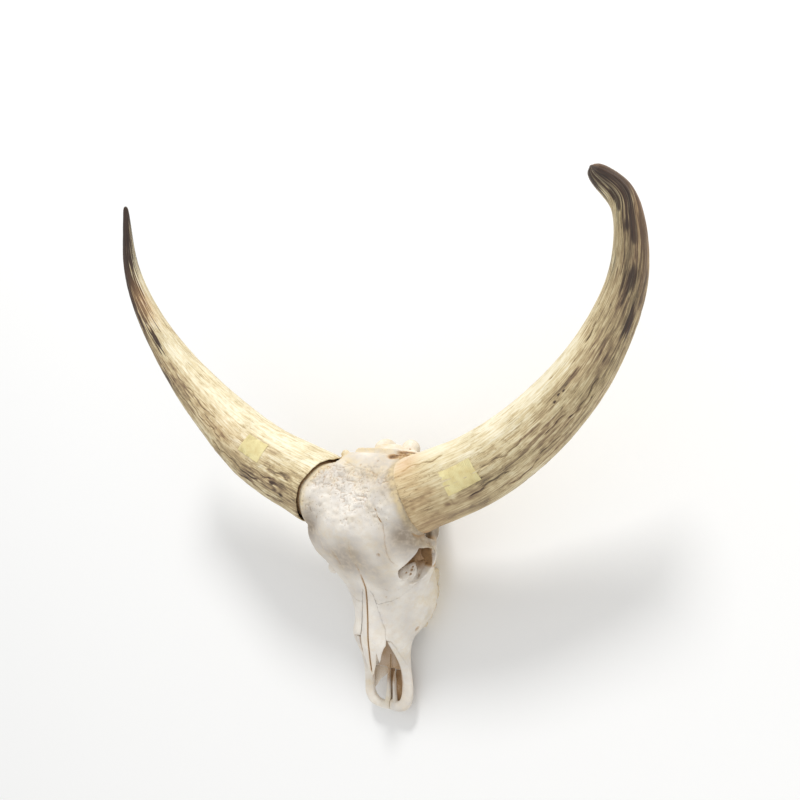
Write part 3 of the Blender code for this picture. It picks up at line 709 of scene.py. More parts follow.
def horn_bosses():
    """The bony collars that carry the horns, and the core ends that stand in the sheaths.

    Each is a round bar along the horn's axis. Its rows are places and shares of its radius.
    """
    made = []
    for side in HORNS:
        line, radius = horn_spine(side, 60)
        outward = (line[4] - line[0]) / np.linalg.norm(line[4] - line[0])
        inner = line[0] - outward * 74 - (0, 0, 7)
        rim = radius[0]
        core = rim - SHEATH_WALL - CORE_CLEARANCE
        reach = SOCKET_DEPTH - 3
        collar_rows = [(inner, 0.84), (line[0] - outward * 40, 0.96), (line[0] + outward * 14, 0.99)]
        core_rows = [(line[0] - outward * 50, 0.8), (line[0] + outward * (reach - 14), 0.98)]
        core_rows.append((line[0] + outward * reach, 0.9))
        for size, rows in ((rim, collar_rows), (core, core_rows)):
            table = [[*place, size * part, size * part] for place, part in rows]
            made.append(bar(table, sides=120, power=2.0))
    return [*made, *both_eggs((110, -124, 186), (27, 30, 26))]


def orbit_axes():
    """Outward, forward and upward directions of the left eye socket's mouth."""
    out = ORBIT_FACING / np.linalg.norm(ORBIT_FACING)
    along = np.cross((0, 0, 1), out)
    along /= np.linalg.norm(along)
    return out, along, np.cross(out, along)


def eye_sockets():
    """Lower rim of each orbit, the bar behind it and the cheek arch below it."""
    out, along, upright = orbit_axes()
    rim_rows = []
    for angle in np.radians(np.linspace(190, 366, 13)):
        forward = along * ORBIT_LENGTH * 0.53 * math.cos(angle)
        upward = upright * ORBIT_HEIGHT * 0.53 * math.sin(angle)
        rim_rows.append([*(ORBIT_CENTRE - out * 3 + forward + upward), 2.6, 4.0])
    rims = both_sides(bar, rim_rows, rings=120, sides=32, up=out)
    arch_rows = [
        (74, -250, 88, 8, 17),
        (92, -222, 102, 7, 16),
        (107, -192, 110, 6, 13),
        (107, -155, 111, 5, 9),
        (103, -115, 108, 5, 8),
        (96, -76, 106, 6, 10),
        (80, -52, 108, 9, 13),
    ]
    post_rows = [
        (106, -146, 182, 9, 13),
        (111.5, -153, 158, 5, 8),
        (112, -158, 134, 4.5, 7),
        (108, -160, 112, 5, 9),
    ]
    lumps = (
        # The postorbital process, which hangs as a knob over the bar.
        ((115, -163, 160), (6, 8, 14), (-22, 0, 0)),
        ((116, -166, 151), (7, 7, 9)),
        ((113, -172, 142), (6.5, 6, 14), (-20, 0, 0)),
        # The floor between the socket, the cheek arch and the temple, which is open in a real skull.
        # Much of this floor is painted brown, as the shade seen through the opening.
        ((101, -138, 106), (15, 21, 6)),
        ((88, -206, 106), (15, 16, 7), (0, 0, -30)),
        ((94, -133, 128), (14, 13, 9)),
        ((98, -174, 110), (14, 18, 6)),
    )
    # Crumbs of bone hang under the left sheath's rim.
    crumbs = [egg((124, -143, 170), (10, 8, 6), (0, 0, 30)), egg((115, -145, 159), (5, 5, 5))]
    forms = [*rims, *(form for lump in lumps for form in both_eggs(*lump))]
    arches = both_sides(bar, arch_rows, rings=80)
    return [*forms, *arches, *crumbs, *both_sides(bar, post_rows, up=(0, 1, 0))]


def skull_floor():
    """The wings between the palate and the braincase, and the bone under the orbits."""
    return [*both_eggs((24, -150, 66), (5, 36, 30)), *both_eggs((52, -172, 92), (28, 26, 32))]


def lacrimal_swellings():
    """The thin porous blisters of bone in the front and floor of each eye socket."""
    lower = both_eggs((74, -216, 127), (13, 20, 9), (0, 12, -24))
    upper = both_eggs((70, -219, 142), (9, 14, 9))
    plate_rows = [
        (62, -229, 158, 3, 2),
        (70, -224, 152, 9, 2.6),
        (78, -213, 144, 13, 3),
        (84, -202, 137, 7, 2.6),
        (88, -195, 134, 3, 2),
    ]
    return [*lower, *upper, *both_sides(bar, plate_rows), egg((-75, -221, 155), (7, 13, 12))]


# ---------------------------------------------------------------- hollows


def orbit_hollows():
    """The eye sockets: superelliptic bars that narrow inwards along the way that the orbit faces."""
    out, _, _ = orbit_axes()
    rows = []
    for depth, size in ((20, 1.1), (2, 1.0), (-22, 0.98), (-44, 0.76), (-58, 0.42)):
        rows.append([*(ORBIT_CENTRE + out * depth), ORBIT_LENGTH / 2 * size, ORBIT_HEIGHT / 2 * size])
    return both_sides(bar, rows, rings=60, sides=96)


def nasal_hollow():
    """The passage behind the nasal opening, with the opening's slanting edge in front."""
    rows = [
        (-440, [(0, 130), (34, 128), (36, 100), (34, 70), (28, 46), (20, 34), (0, 33)]),
        (-412, [(0, 130), (34, 126), (35, 96), (32, 66), (28, 46), (20, 34), (0, 33)]),
        (-384, [(0, 128), (30, 122), (32, 94), (32, 70), (30, 50), (22, 36), (0, 36)]),
        (-360, [(0, 122), (26, 116), (29, 96), (32, 74), (30, 56), (22, 41), (0, 41)]),
        (-335, [(0, 112), (22, 108), (30, 94), (32, 76), (28, 60), (22, 48), (0, 48)]),
        (-300, [(0, 116), (20, 112), (28, 98), (30, 80), (26, 66), (18, 54), (0, 54)]),
        (-262, [(0, 110), (10, 108), (14, 98), (15, 86), (13, 76), (8, 68), (0, 68)]),
    ]
    return skin(rows, rings=100, sides=120)


def palate_hollow():
    """The vault between the tooth rows."""
    rows = [
        (-395, [(0, 22), (16, 21), (24, 16), (26, 8), (26, -10), (20, -30), (0, -30)]),
        (-350, [(0, 31), (18, 30), (26, 23), (28, 12), (28, -10), (22, -30), (0, -30)]),
        (-300, [(0, 36), (26, 34), (40, 25), (44, 12), (44, -10), (34, -30), (0, -30)]),
        (-240, [(0, 38), (30, 36), (46, 26), (50, 12), (50, -10), (38, -30), (0, -30)]),
        (-190, [(0, 42), (24, 40), (34, 28), (38, 12), (38, -10), (32, -30), (0, -30)]),
        (-160, [(0, 50), (22, 46), (30, 32), (34, 14), (34, -10), (30, -30), (0, -30)]),
    ]
    return skin(rows, rings=80, sides=100)


def back_openings():
    """The foramen magnum and the two passages of the choana."""
    foramen = bar([(0, 40, 104, 17, 15), (0, 4, 102, 17, 16), (0, -46, 112, 13, 13)])
    choana_rows = [(9, -110, 44, 8, 30), (9, -150, 54, 8, 22), (8, -182, 62, 7, 18), (7, -206, 68, 5, 10)]
    return [foramen, *both_sides(bar, choana_rows)]


# ---------------------------------------------------------------- the fused skull

# Grid and rounds of easing, first for the masses alone and then for the whole skull.
MASS_VOXEL, MASS_EASE = 2.2, 16
SKULL_VOXEL, SKULL_EASE = 1.5, 2


def fused_skull():
    """The masses fused and eased first, then the sharp parts added and the hollows opened."""
    masses = [forehead(), braincase(), *occiput(), *horn_bosses(), *face(), *skull_floor()]
    soft = form_of(fused("masses", masses, MASS_VOXEL, MASS_EASE))
    sharp = [*eye_sockets(), *occipital_edges(), *cheek_teeth()]
    skull = fused("skull", [soft, *sharp], SKULL_VOXEL, SKULL_EASE)
    for hollow in (*orbit_hollows(), nasal_hollow(), palate_hollow(), *back_openings()):
        combine(skull, hollow, "DIFFERENCE")
    return fused("skull", [form_of(skull), *lacrimal_swellings()], SKULL_VOXEL, SKULL_EASE)


# ---------------------------------------------------------------- joints between the bones

# Gaps: at the sutures, before the upper jaws, round the sheaths, and round the nasal bones.
SUTURE_GAP, NOSE_GAP, SEAT_GAP, NASAL_SEAT = 0.6, 0.25, 1.3, 0.9

# Side view of the joint between premaxilla and upper jaw: y and z, from the bottom up.
NOSE_SUTURE = [(-412, -60), (-412, 10), (-404, 40), (-380, 60), (-346, 100), (-340, 118)]

# The joint behind the upper jaws, in side view (y, z), from the top down. Its first part, above
# CHEEK_LEVEL, lies on the cheek and swings forward by CHEEK_SWING at each x, from the front of the
# eye socket to the side of the nasal bones. Below it the swing fades over CHEEK_FADE.
JAW_BACK = [(-236, 400), (-238, 128), (-206, 84), (-166, 66), (-160, -60)]
CHEEK_LEVEL, CHEEK_FADE = 128.0, 44.0
CHEEK_SWING = ((0, -40), (24, -40), (60, -24), (90, 0), (300, 0))


def suture_shake(points):
    """The small zigzag of a suture, in millimetres, from two sizes of noise."""
    return lattice_noise(points, 5.0, 21) * 1.1 + lattice_noise(points, 2.2, 22) * 0.7


def suture_cutter(front, back, low, high):
    """A block between two lines in side view, bottom to top each, whose faces zigzag as sutures do."""
    def across(x, outline):
        points = np.column_stack([np.full(len(outline), x), outline])
        return outline + np.outer(suture_shake(points), (1, 0))

    return sheet_cutter(np.concatenate([front, back[::-1]]), across, low, high)


def jaw_cutter(front, gap, low, high):
    """A block from a front line back to the joint behind the upper jaws, with its zigzag."""
    reach, swing = np.array(CHEEK_SWING, float).T
    back = even_line(JAW_BACK[::-1], len(front))

    def across(x, outline):
        moved = outline.copy()
        half = len(front)
        level = step(CHEEK_LEVEL - CHEEK_FADE, CHEEK_LEVEL, moved[half:, 1])
        moved[half:, 0] += gap + np.interp(abs(x), reach, swing) * level
        points = np.column_stack([np.full(len(moved), x), outline])
        moved[:, 0] += suture_shake(points)
        return moved

    return sheet_cutter(np.concatenate([front, back[::-1]]), across, low, high)


# ---------------------------------------------------------------- nasal bones and premaxillae

# Each nasal bone by its side's sign: y, its width, and the heights of its ridge and of its outer edge.
NASAL_ROWS = {
    1: (
        (-222, 4, 174, 168),
        (-232, 26, 163.5, 150.5),
        (-246, 39, 154.5, 134),
        (-275, 36, 144, 125),
        (-310, 31.5, 135, 119),
        (-351, 28, 126, 113),
        (-405, 24, 105, 96),
    ),
    -1: (
        (-222, 4, 174, 168),
        (-232, 18, 163.5, 152),
        (-246, 24, 154.5, 138),
        (-275, 25, 144, 127),
        (-310, 24, 135, 119),
        (-351, 22, 126, 113),
        (-405, 15, 105, 96),
    ),
}
NASAL_BACK, NASAL_BEND = -222.0, -310.0

# Front edge of each nasal bone: share of its width from the midline, and where it ends.
NASAL_FORK = {
    1: (
        (0, -410), (0.1, -409), (0.25, -398), (0.38, -388), (0.44, -378), (0.47, -364),
        (0.5, -370), (0.56, -382), (0.62, -386), (0.68, -381), (0.76, -370), (0.88, -359), (1, -353),
    ),
    -1: ((0, -410), (0.12, -408), (0.35, -403), (0.6, -397), (0.85, -387), (1, -378)),
}

# The curved wing of each premaxilla: x, y, z of its inner and outer edge, and half its thickness.
WING_ROOT = (-6, -463, 27, -6, -482, 24, 6)
WING_TOP = (
    (31, -373, 77, 48, -368, 48, 5),
    (30, -360, 92, 50, -352, 56, 4.5),
    (28, -346, 106, 52, -338, 66, 4),
)
WING_ROWS = {
    1: (
        WING_ROOT,
        (12, -465, 28, 17, -483, 26, 7),
        (22, -460, 29, 36, -477, 28, 8),
        (26, -448, 31, 47, -462, 31, 7.5),
        (27, -432, 34, 50, -442, 33, 7),
        (27, -417, 40, 49.5, -414, 38, 6.5),
        (29, -402, 50, 48, -398, 41, 6),
        (30, -387, 62, 47, -384, 44, 5.5),
        *WING_TOP,
    ),
    -1: (
        WING_ROOT,
        (16, -468, 28, 18, -483, 26, 7),
        (27, -462, 29, 36, -477, 28, 8),
        (31, -449, 31, 47, -462, 31, 7.5),
        (31, -434, 34, 50, -442, 33, 7),
        (31, -418, 40, 49.5, -414, 38, 6.5),
        (32, -402, 50, 48, -398, 41, 6),
        (32, -387, 62, 47, -384, 44, 5.5),
        *WING_TOP,
    ),
}

# Bars beside the midline: the palatine splint, and the thin plates that close the slots. The left
# slot's floor is such a plate, painted brown as shade, and the right one is open but for a shelf in
# its back end and a keel.
SPLINT_BARS = {
    1: (
        (
            (8, -474, 26, 7, 6), (7.8, -461, 26, 4.6, 5), (5.6, -445, 27, 3.1, 5),
            (3.9, -431, 27, 2.9, 5), (3, -420, 27, 1.6, 4), (2.6, -411, 27, 1, 3),
        ),
        ((13, -474, 18.5, 9, 2), (14, -450, 19.5, 13.6, 2), (14, -425, 19.5, 14, 2), (14, -389, 19, 14, 2)),
    ),
    -1: (
        (
            (7, -474, 26, 7, 6), (6.4, -458, 27, 5.2, 5), (7.4, -442, 27, 3.9, 5),
            (9, -424, 28, 2.8, 4), (9.4, -402, 29, 2.6, 3),
        ),
        (
            (37, -452, 25, 2, 2), (35, -442, 25, 6, 2), (31, -428, 25, 8, 2),
            (26, -414, 24, 13, 2), (22, -395, 19, 13, 2),
        ),
        (
            (6.5, -476, 20, 5.5, 3), (6.5, -455, 19.5, 5.3, 2.6),
            (6.5, -430, 19.5, 5.3, 2.6), (6.5, -400, 19.5, 5.3, 2.4),
        ),
    ),
}


def nasal_bone(sign, grow=0.0):
    """One nasal bone: an arched plate with rounded edges, forked at its free end.

    Its cross section is a flat superellipse bent over a parabola. Rings run from the point at the
    forehead to the fork, where each ring takes the fork's own outline. grow makes the plate larger
    on all sides, as its seat.
    """
    a, b = oval(200, 5.0, 5.0)
    across = (1 + a) / 2
    fork = np.interp(across, *np.array(NASAL_FORK[sign], float).T) - grow
    share = np.linspace(0, 1, 240)[:, None]
    # The seat is close at the forehead, where the joint hardly shows, and wider beside the nose.
    gap = grow * (0.05 + 0.95 * step(0.2, 0.5, share))
    back = NASAL_BACK + gap
    to_bend, past_bend = np.minimum(share / 0.6, 1), np.clip(share / 0.4 - 1.5, 0, 1)
    y = back + (NASAL_BEND - back) * to_bend + (fork - NASAL_BEND) * past_bend
    table = smooth_rows(NASAL_ROWS[sign][::-1], 300)
    width, ridge, edge = (np.interp(y, table[:, 0], table[:, i]) for i in (1, 2, 3))
    taper = np.sqrt(1 - step(0.965, 1.0, share) ** 2 * 0.9)
    x = SUTURE_GAP / 2 - gap + (width + 2 * gap) * across
    z = ridge + (edge - ridge) * across**2 + (b * taper - 1) * 2.0 + b * gap
    if not grow:
        # Fine lines along the bone and slow waves.
        top = np.stack([x, y, z], axis=2).reshape(-1, 3)
        lines = lattice_noise(top / (3.5, 60, 30), 1.0, 71)
        lines = lines + 0.6 * lattice_noise(top / (1.6, 25, 30), 1.0, 72)
        waves = layered_noise(top, 16, 2, 73)
        z = z + (lines * 0.14).reshape(z.shape) * np.clip(b, 0, 1) + waves.reshape(z.shape) * 0.3
    return tube(np.stack([sign * x, y, z], axis=2), ends="strip")


def premaxilla(sign):
    """One premaxilla: toothless plate, the wing up beside the nose and the palatine splint.

    It is a ribbon and bars fused on a fine grid, cut at the midline and at the joint to the upper jaw.
    """
    forms = [ribbon(WING_ROWS[sign]), *(bar(rows) for rows in SPLINT_BARS[sign])]
    piece = fused("premaxilla", forms, 0.9, 5)
    combine(piece, box((SUTURE_GAP * 2, -600, -50), (90, 0, 200)), "INTERSECT")
    front = even_line(NOSE_SUTURE, 60) - (NOSE_GAP, 0)
    behind = even_line([(-200, -60), (-200, 118)], 60)
    combine(piece, suture_cutter(front, behind, -10, 100), "DIFFERENCE")
    points, faces = largest_part(piece)
    points = points + normals_at(points, faces) * bone_roughness(points)[:, None]
    return points * (sign, 1, 1), faces[:, ::sign]


def leaned(points):
    """Points with the muzzle's sides drawn towards the animal's right, by up to 4.5 mm on the left and
    15 mm on the right, since real skulls aren't symmetric."""
    x, y, _ = points.T
    near = -4.5 * bell(y + 368, 46) * step(26, 44, x)
    far = -(7.0 * step(-300, -352, y) + 8.5 * bell(y + 372, 32)) * step(14, 40, -x)
    lean = np.where(x > 0, near, far)
    return points + np.outer(lean, (1, 0, 0))


# ---------------------------------------------------------------- horn sheaths

# Points round a sheath and rings along it, and the straight cylinder on which its marks are drawn.
HORN_SIDES, HORN_RINGS = 330, 250
GRAIN_RADIUS = 50.0

# Seeds of the two horns' noises, for their relief and for their paint.
RELIEF_SEED = {"left": 0, "right": 40}
PAINT_SEED = {"left": 100, "right": 140}

# Crumbled patches: place along the horn in millimetres, angle in degrees, and half their sizes.
HORN_ROUGH = {
    "left": [
        (132, 45, 55, 14),
        (360, 58, 60, 14),
        (520, 40, 40, 30),
        (250, 150, 90, 30),
    ],
    "right": [
        (66, 12, 44, 22),
        (30, 42, 22, 16),
        (560, -30, 110, 60),
        (170, 40, 70, 12),
        (260, 160, 100, 35),
    ],
}

# Splits along the horns: from and to, along the horn in millimetres, their angle in degrees from
# the top towards the nose side, their width and depth.
HORN_SPLITS = {
    "left": [
        (427, 470, -12, 1.0, 2.2),
        (343, 362, -27, 0.9, 1.6),
        (322, 400, 56, 1.1, 2.2),
        (12, 112, -30, 1.0, 1.6),
        (120, 205, 48, 1.0, 1.6),
        (150, 260, 22, 0.9, 1.1),
        (250, 300, 66, 1.2, 2.0),
        (280, 330, 44, 0.9, 1.5),
        (180, 250, 74, 1.0, 1.6),
        (90, 240, 170, 1.0, 1.4),
        (200, 420, -120, 0.9, 1.2),
    ],
    "right": [
        (21, 84, 1, 1.1, 2.2),
        (60, 118, 14, 1.0, 1.8),
        (90, 230, 30, 1.5, 1.6),
        (200, 330, 12, 1.1, 1.4),
        (240, 420, -8, 0.9, 1.2),
        (30, 150, 46, 1.6, 1.7),
        (150, 400, 58, 1.4, 1.5),
        (280, 470, 24, 1.0, 1.3),
        (110, 300, 165, 1.0, 1.4),
        (49, 54, -62, 0.9, 1.0),
    ],
}

# Dark patches on the horns: along in millimetres, angle in degrees, and half their sizes.
TIP_BLOTCHES = {
    "left": [
        (612, 3, 22, 24), (538, 29, 22, 30), (480, 62, 12, 30), (355, 14, 3, 4),
        (345, 11, 2.5, 4), (333, 15, 3, 4), (4, 98, 5, 4),
    ],
    "right": [(470, -12, 9, 34), (400, 40, 8, 40), (62, 19, 5, 7), (39, 31, 5, 8)],
}

# What horn_paint gives for each point, in its order.
HORN_PAINTS = ("tone", "tip", "warm", "fibrous")


def horn_frames(side, count):
    """Centre line, radii, tangent, nose side, upright and distance from the rim along one horn.

    An angle round the section is 0 on top, a quarter turn on the nose side and minus a quarter
    turn on the inner side, on both horns.
    """
    line, radius = horn_spine(side, count)
    tangent, across, upright = path_frames(line, (0, 0, 1))
    nose = across * SIDES[side]
    return line, radius, tangent, nose, upright, arc_length(line)


def horn_sheath(side, grow=0.0, over=0.0):
    """A hollow-based cone bent along its centre line: socket, rim, flank and tip in one skin.

    Returns the form, and for each of its points the place on a straight cylinder of GRAIN_RADIUS
    and the height of the relief. The place is x and y round the cylinder from the top, and the
    distance from the rim. grow makes the smooth seat that the sheath leaves in the bone, and over
    clears the bone outside it.
    """
    line, radius, tangent, nose, upright, length = horn_frames(side, HORN_RINGS)
    turn_angle = np.linspace(0, 2 * math.pi, HORN_SIDES, endpoint=False)
    around = np.column_stack([np.sin(turn_angle), np.cos(turn_angle), np.zeros(HORN_SIDES)])
    rim = rim_shift(side, np.degrees(turn_angle))
    # The rim's slant fades along the horn.
    fade = np.clip(1 - np.linspace(0, 3.75, HORN_RINGS), 0, 1)
    chips = np.zeros(HORN_SIDES) if grow else layered_noise(around * 8, 1.0, 3, 5) * 0.8
    socket = radius[0] - SHEATH_WALL - grow
    mouth = radius[0] - RIM_WALL - grow

    def ring(i, size, along, share=1.0):
        spoke = nose[i] * around[:, :1] + upright[i] * around[:, 1:2]
        shift = along + fade[i] * share * rim
        return line[i] + spoke * np.broadcast_to(size, HORN_SIDES)[:, None] + tangent[i] * shift[:, None]

    # From the socket's bottom to the rim: radius, place along the horn, and share of the rim's slant.
    socket_rows = [
        (socket * 0.5, SOCKET_DEPTH + 1 + grow, 0),
        (socket * 0.93, SOCKET_DEPTH + grow, 0),
        (socket, 27, 0.1),
        (socket, 20, 0.3),
        (socket * 0.75 + mouth * 0.25, 14, 0.6),
        (socket * 0.4 + mouth * 0.6, 8, 0.85),
        (socket * 0.15 + mouth * 0.85, 4, 1),
        (mouth, 1 - grow, 1),
    ]
    rim_rows = [
        (mouth + 0.4, chips - 0.2 - grow, 1),
        (radius[0] - 1.0 + over, chips - 0.4 - grow, 1),
        (radius[0] - 0.4 + over, chips - grow, 1),
        (radius[0] - 0.1 + over, chips * 0.6 + 0.9 - grow, 1),
    ]
    rings = [ring(0, *row) for row in (*socket_rows, *rim_rows)]
    places = [np.full(HORN_SIDES, -6.0)] * len(socket_rows) + [np.full(HORN_SIDES, -2.0)] * len(rim_rows)
    heights = [np.zeros(HORN_SIDES)] * len(rings)
    wrapped = around * GRAIN_RADIUS
    for i in range(int(np.searchsorted(length, 2.0)), HORN_RINGS):
        relief = 0 if grow else horn_relief(side, wrapped + (0, 0, length[i]), radius[i])
        rings.append(ring(i, radius[i] + over + relief * step(-1, 4, length[i] - 2.0), 0))
        places.append(np.full(HORN_SIDES, length[i]))
        heights.append(np.broadcast_to(relief, HORN_SIDES))
    # One smaller ring rounds the tip.
    rings.append(line[-1] + (rings[-1] - line[-1]) * 0.5 + tangent[-1] * 2.0)
    places.append(places[-1])
    heights.append(heights[-1])
    places = wrapped + np.stack(places)[:, :, None] * (0, 0, 1)
    places = np.concatenate([places.reshape(-1, 3), [places[0].mean(0), places[-1].mean(0)]])
    return tube(rings), places, np.r_[np.concatenate(heights), 0, 0]


def angle_of(place):
    """Angle in degrees of each place round the straight cylinder, 0 on top and 90 on the nose side."""
    return np.degrees(np.arctan2(place[:, 0], place[:, 1]))


def stretched(place, width, length, seed):
    """Noise drawn out along the fibres: lumps are width by length millimetres."""
    return lattice_noise(place / (width, width, length), 1.0, seed)


def dashes(place, width, length, seed, low=0.25, high=0.5):
    """Marks along the fibres, 0 to 1: where a stretched noise is high."""
    return step(low, high, stretched(place, width, length, seed))


def weathered(angle):
    """1 on the weathered nose side of a horn, 0 on its inner side, with a half share underneath."""
    return np.clip(step(-40, 30, angle) * step(175, 110, angle) + 0.5 * step(150, 180, np.abs(angle)), 0, 1)


def rough_zone(side, place):
    """1 where the surface has crumbled: ovals of HORN_ROUGH, whose edges are shaken by noise."""
    angle = angle_of(place)
    total = np.zeros(len(place))
    edge = layered_noise(place * (1, 1, 0.5), 14, 2, 33) * 0.5
    for along, turned, long, wide in HORN_ROUGH[side]:
        off = np.hypot((place[:, 2] - along) / long, (angle - turned) / wide)
        total = np.maximum(total, step(1.25, 0.7, off + edge))
    return total


def splits(side, place, radius):
    """Depth of the splits at each point: bells across wavy lines along the horn."""
    angle = np.arctan2(place[:, 0], place[:, 1])
    along = place[:, 2]
    total = np.zeros(len(place))
    for start, stop, turned, width, depth in HORN_SPLITS[side]:
        if along[0] > stop + 6 or along[-1] < start - 6:
            continue
        wave = 0.045 * np.sin(along / 13 + turned) + 0.022 * np.sin(along / 4.7 + 2 * turned)
        distance = np.abs(np.angle(np.exp(1j * (angle - math.radians(turned) - wave)))) * radius
        ends = step(0, 10, along - start) * step(0, 10, stop - along)
        total = np.maximum(total, depth * bell(distance, width) * ends)
    return total


def horn_relief(side, place, radius):
    """Height of the horn's wrinkles in millimetres, round one ring of the straight cylinder.

    It sums fine and broad lengthwise wrinkles, growth rings near the rim, thin flakes whose edges
    are steps of a stretched noise, and splits, which are narrow bells along lines.
    """
    seed = RELIEF_SEED[side]
    size = min(radius / GRAIN_RADIUS, 1.0)
    length = place[0, 2]
    outer = weathered(angle_of(place))
    fine = stretched(place, 3.2, 55, 11 + seed) + stretched(place, 1.7, 30, 12 + seed)
    broad = stretched(place, 9, 170, 13 + seed) * (0.35 + 0.5 * outer)
    broad = broad + stretched(place, 22, 130, 14 + seed) * 0.4
    rings = math.sin(length / 11 + math.sin(length / 31)) * 0.2 * bell(length, 260)
    lumps = layered_noise(place, 26, 2, 15 + seed) * 0.25
    scaly = stretched(place, 7, 40, 16 + seed) * 0.7 + layered_noise(place, 9, 2, 17 + seed) * 0.3
    flakes = step(0.2, 0.27, scaly) * 0.5 + step(0.42, 0.47, scaly) * 0.4
    crumbs = layered_noise(place * (1, 1, 0.45), 5, 2, 19 + seed) * 0.55 + step(0.1, 0.2, scaly) * 0.6
    height = fine * (0.2 + 0.18 * outer) + broad + rings + lumps - flakes * (0.4 + 0.5 * outer)
    height = height - rough_zone(side, place) * crumbs * 1.3
    return height * (0.3 + 0.7 * size) - splits(side, place, radius)


def horn_paint(side, place, height):
    """Tone (0 cream to 1 dark brown), darkness of the tip, warmth, and how much the fibres show.

    Each is a sum of bells and smooth steps over the angle and the distance along the horn, and of
    noises drawn out along the fibres, for points on the straight cylinder.
    """
    seed = PAINT_SEED[side]
    angle = angle_of(place)
    along = place[:, 2]
    outer = weathered(angle)
    region = stretched(place, 26, 120, seed + 1)
    fine = stretched(place, 2.6, 34, seed + 2)
    streak = stretched(place, 2.6, 45, seed + 5)

    marks = dashes(place, 3.0, 30, seed + 3) * step(-0.25, 0.35, region + outer * 0.5 - 0.25)
    wide = dashes(place, 6.0, 60, seed + 4, 0.35, 0.6) * step(0.05, 0.4, outer + region * 0.5 - 0.35)
    hair = dashes(place, 1.6, 22, seed + 6, 0.3, 0.45) * step(-0.4, 0.2, region + outer * 0.6)
    hair = hair * step(-0.25, 0.35, stretched(place, 15, 70, seed + 8))
    if side == "left":
        marks, hair, wide = (kind * (0.3 + 0.7 * step(70, 170, along)) for kind in (marks, hair, wide))
    marks = np.maximum.reduce([marks, wide * 0.6, hair * 0.75])
    tone = 0.24 + 0.15 * outer + 0.08 * region + 0.06 * fine + 0.25 * marks - 0.1 * bell(angle + 48, 34)
    # Low places in the relief are painted darker and high ones lighter: painted shade and highlight.
    tone = tone - 0.15 * np.clip(height, -1.5, 1.5) + 0.05 * rough_zone(side, place)

    # Where the dark tip begins, its ragged patches, and the warm places differ from horn to horn.
    if side == "left":
        tone += 0.14 * step(210, 120, along) * bell(angle - 78, 42)
        tone += 0.2 * step(330, 500, along) - 0.16 * bell(angle + 34, 22) * bell(along - 300, 130)
        edge = 655 - 30 * np.cos(np.radians(angle - 60)) + streak * 60
        patchy = 0.75 * step(0.1, 0.5, stretched(place, 9, 55, seed + 7) + 0.2 * outer)
        patchy = patchy * step(450, 600, along)
        warm = 0.6 * bell(angle + 44, 22) * bell(along - 22, 26)
        warm += 0.55 * step(500, 640, along) * step(20, 90, angle)
        warm += bell(angle - 96, 10) * bell(along - 5, 7) + 0.22 * step(110, 20, along)
        # The fibres show less at this horn's base, where the surface is smooth.
        fibrous = 0.45 + 0.55 * step(90, 210, along)
    else:
        tone += 0.1 * step(220, 20, along) * bell(angle - 35, 42) + 0.1 * step(300, 420, along) * outer
        tone -= 0.1 * bell(along - 70, 60) * bell(angle - 20, 40)
        edge = 575 - 75 * np.cos(np.radians(angle - 40)) + streak * 130
        patchy = 0.7 * step(0.15, 0.5, stretched(place, 4, 60, seed + 7))
        patchy = patchy * step(400, 520, along) * step(-75, -30, angle)
        warm = 0.8 * bell(along - 560, 50) * bell(angle + 40, 40)
        warm += 0.2 * bell(angle + 5, 25) * bell(along - 200, 120)
        fibrous = np.ones(len(along))
    tip = np.maximum(step(-45, 55, along - edge + region * 45 + fine * 25), patchy)
    for at, spot, broad, long in TIP_BLOTCHES[side]:
        off = np.hypot((angle - spot) / broad, (along - at) / long)
        tip = np.maximum(tip, step(1.25, 0.35, off + 0.45 * streak + 0.3 * region) * 0.8)
    # Splits are dark. The inside of the socket is painted darker, as the shade in it.
    tone += 0.4 * splits(side, place, GRAIN_RADIUS) / 2 + 0.4 * step(-3, -5, along)
    return np.clip(tone, 0, 1), np.clip(tip, 0, 1), np.clip(warm, 0, 1), fibrous


# ---------------------------------------------------------------- paper slips

# Along the horn from and to, in millimetres, and round it from and to, in degrees from the top
# towards the nose side.
LABELS = {"left": ((102, 163), (-4, 34)), "right": ((105, 155), (-33, 1))}
# The slip's height over the horn's smooth radius, its thickness, and how far its corners lift.
LABEL_LIFT, LABEL_THICK, CORNER_LIFT = 0.9, 0.3, 0.9


def label(side):
    """A blank slip of paper tape bent round the horn, with slightly wavy edges and lifted corners."""
    (start, stop), (low, high) = LABELS[side]
    line, radius, _, nose, upright, length = horn_frames(side, 900)
    a, b = oval(160, 9.0, 9.0)
    rings = []
    for share in np.linspace(-1, 1, 90):
        place = start + (stop - start) * (1 + share) / 2
        i = int(np.searchsorted(length, place))
        angle = np.radians((low + high) / 2 + (high - low) / 2 * a) + 0.004 * np.sin(share * 9)
        lift = CORNER_LIFT * np.clip(np.abs(a) ** 6 * abs(share) ** 6, 0, 1)
        spoke = nose[i] * np.sin(angle)[:, None] + upright[i] * np.cos(angle)[:, None]
        out = radius[i] + LABEL_LIFT + lift + LABEL_THICK * b / 2
        rings.append(line[i] + spoke * out[:, None])
    return tube(rings, ends="strip")


# ---------------------------------------------------------------- the bones' surface

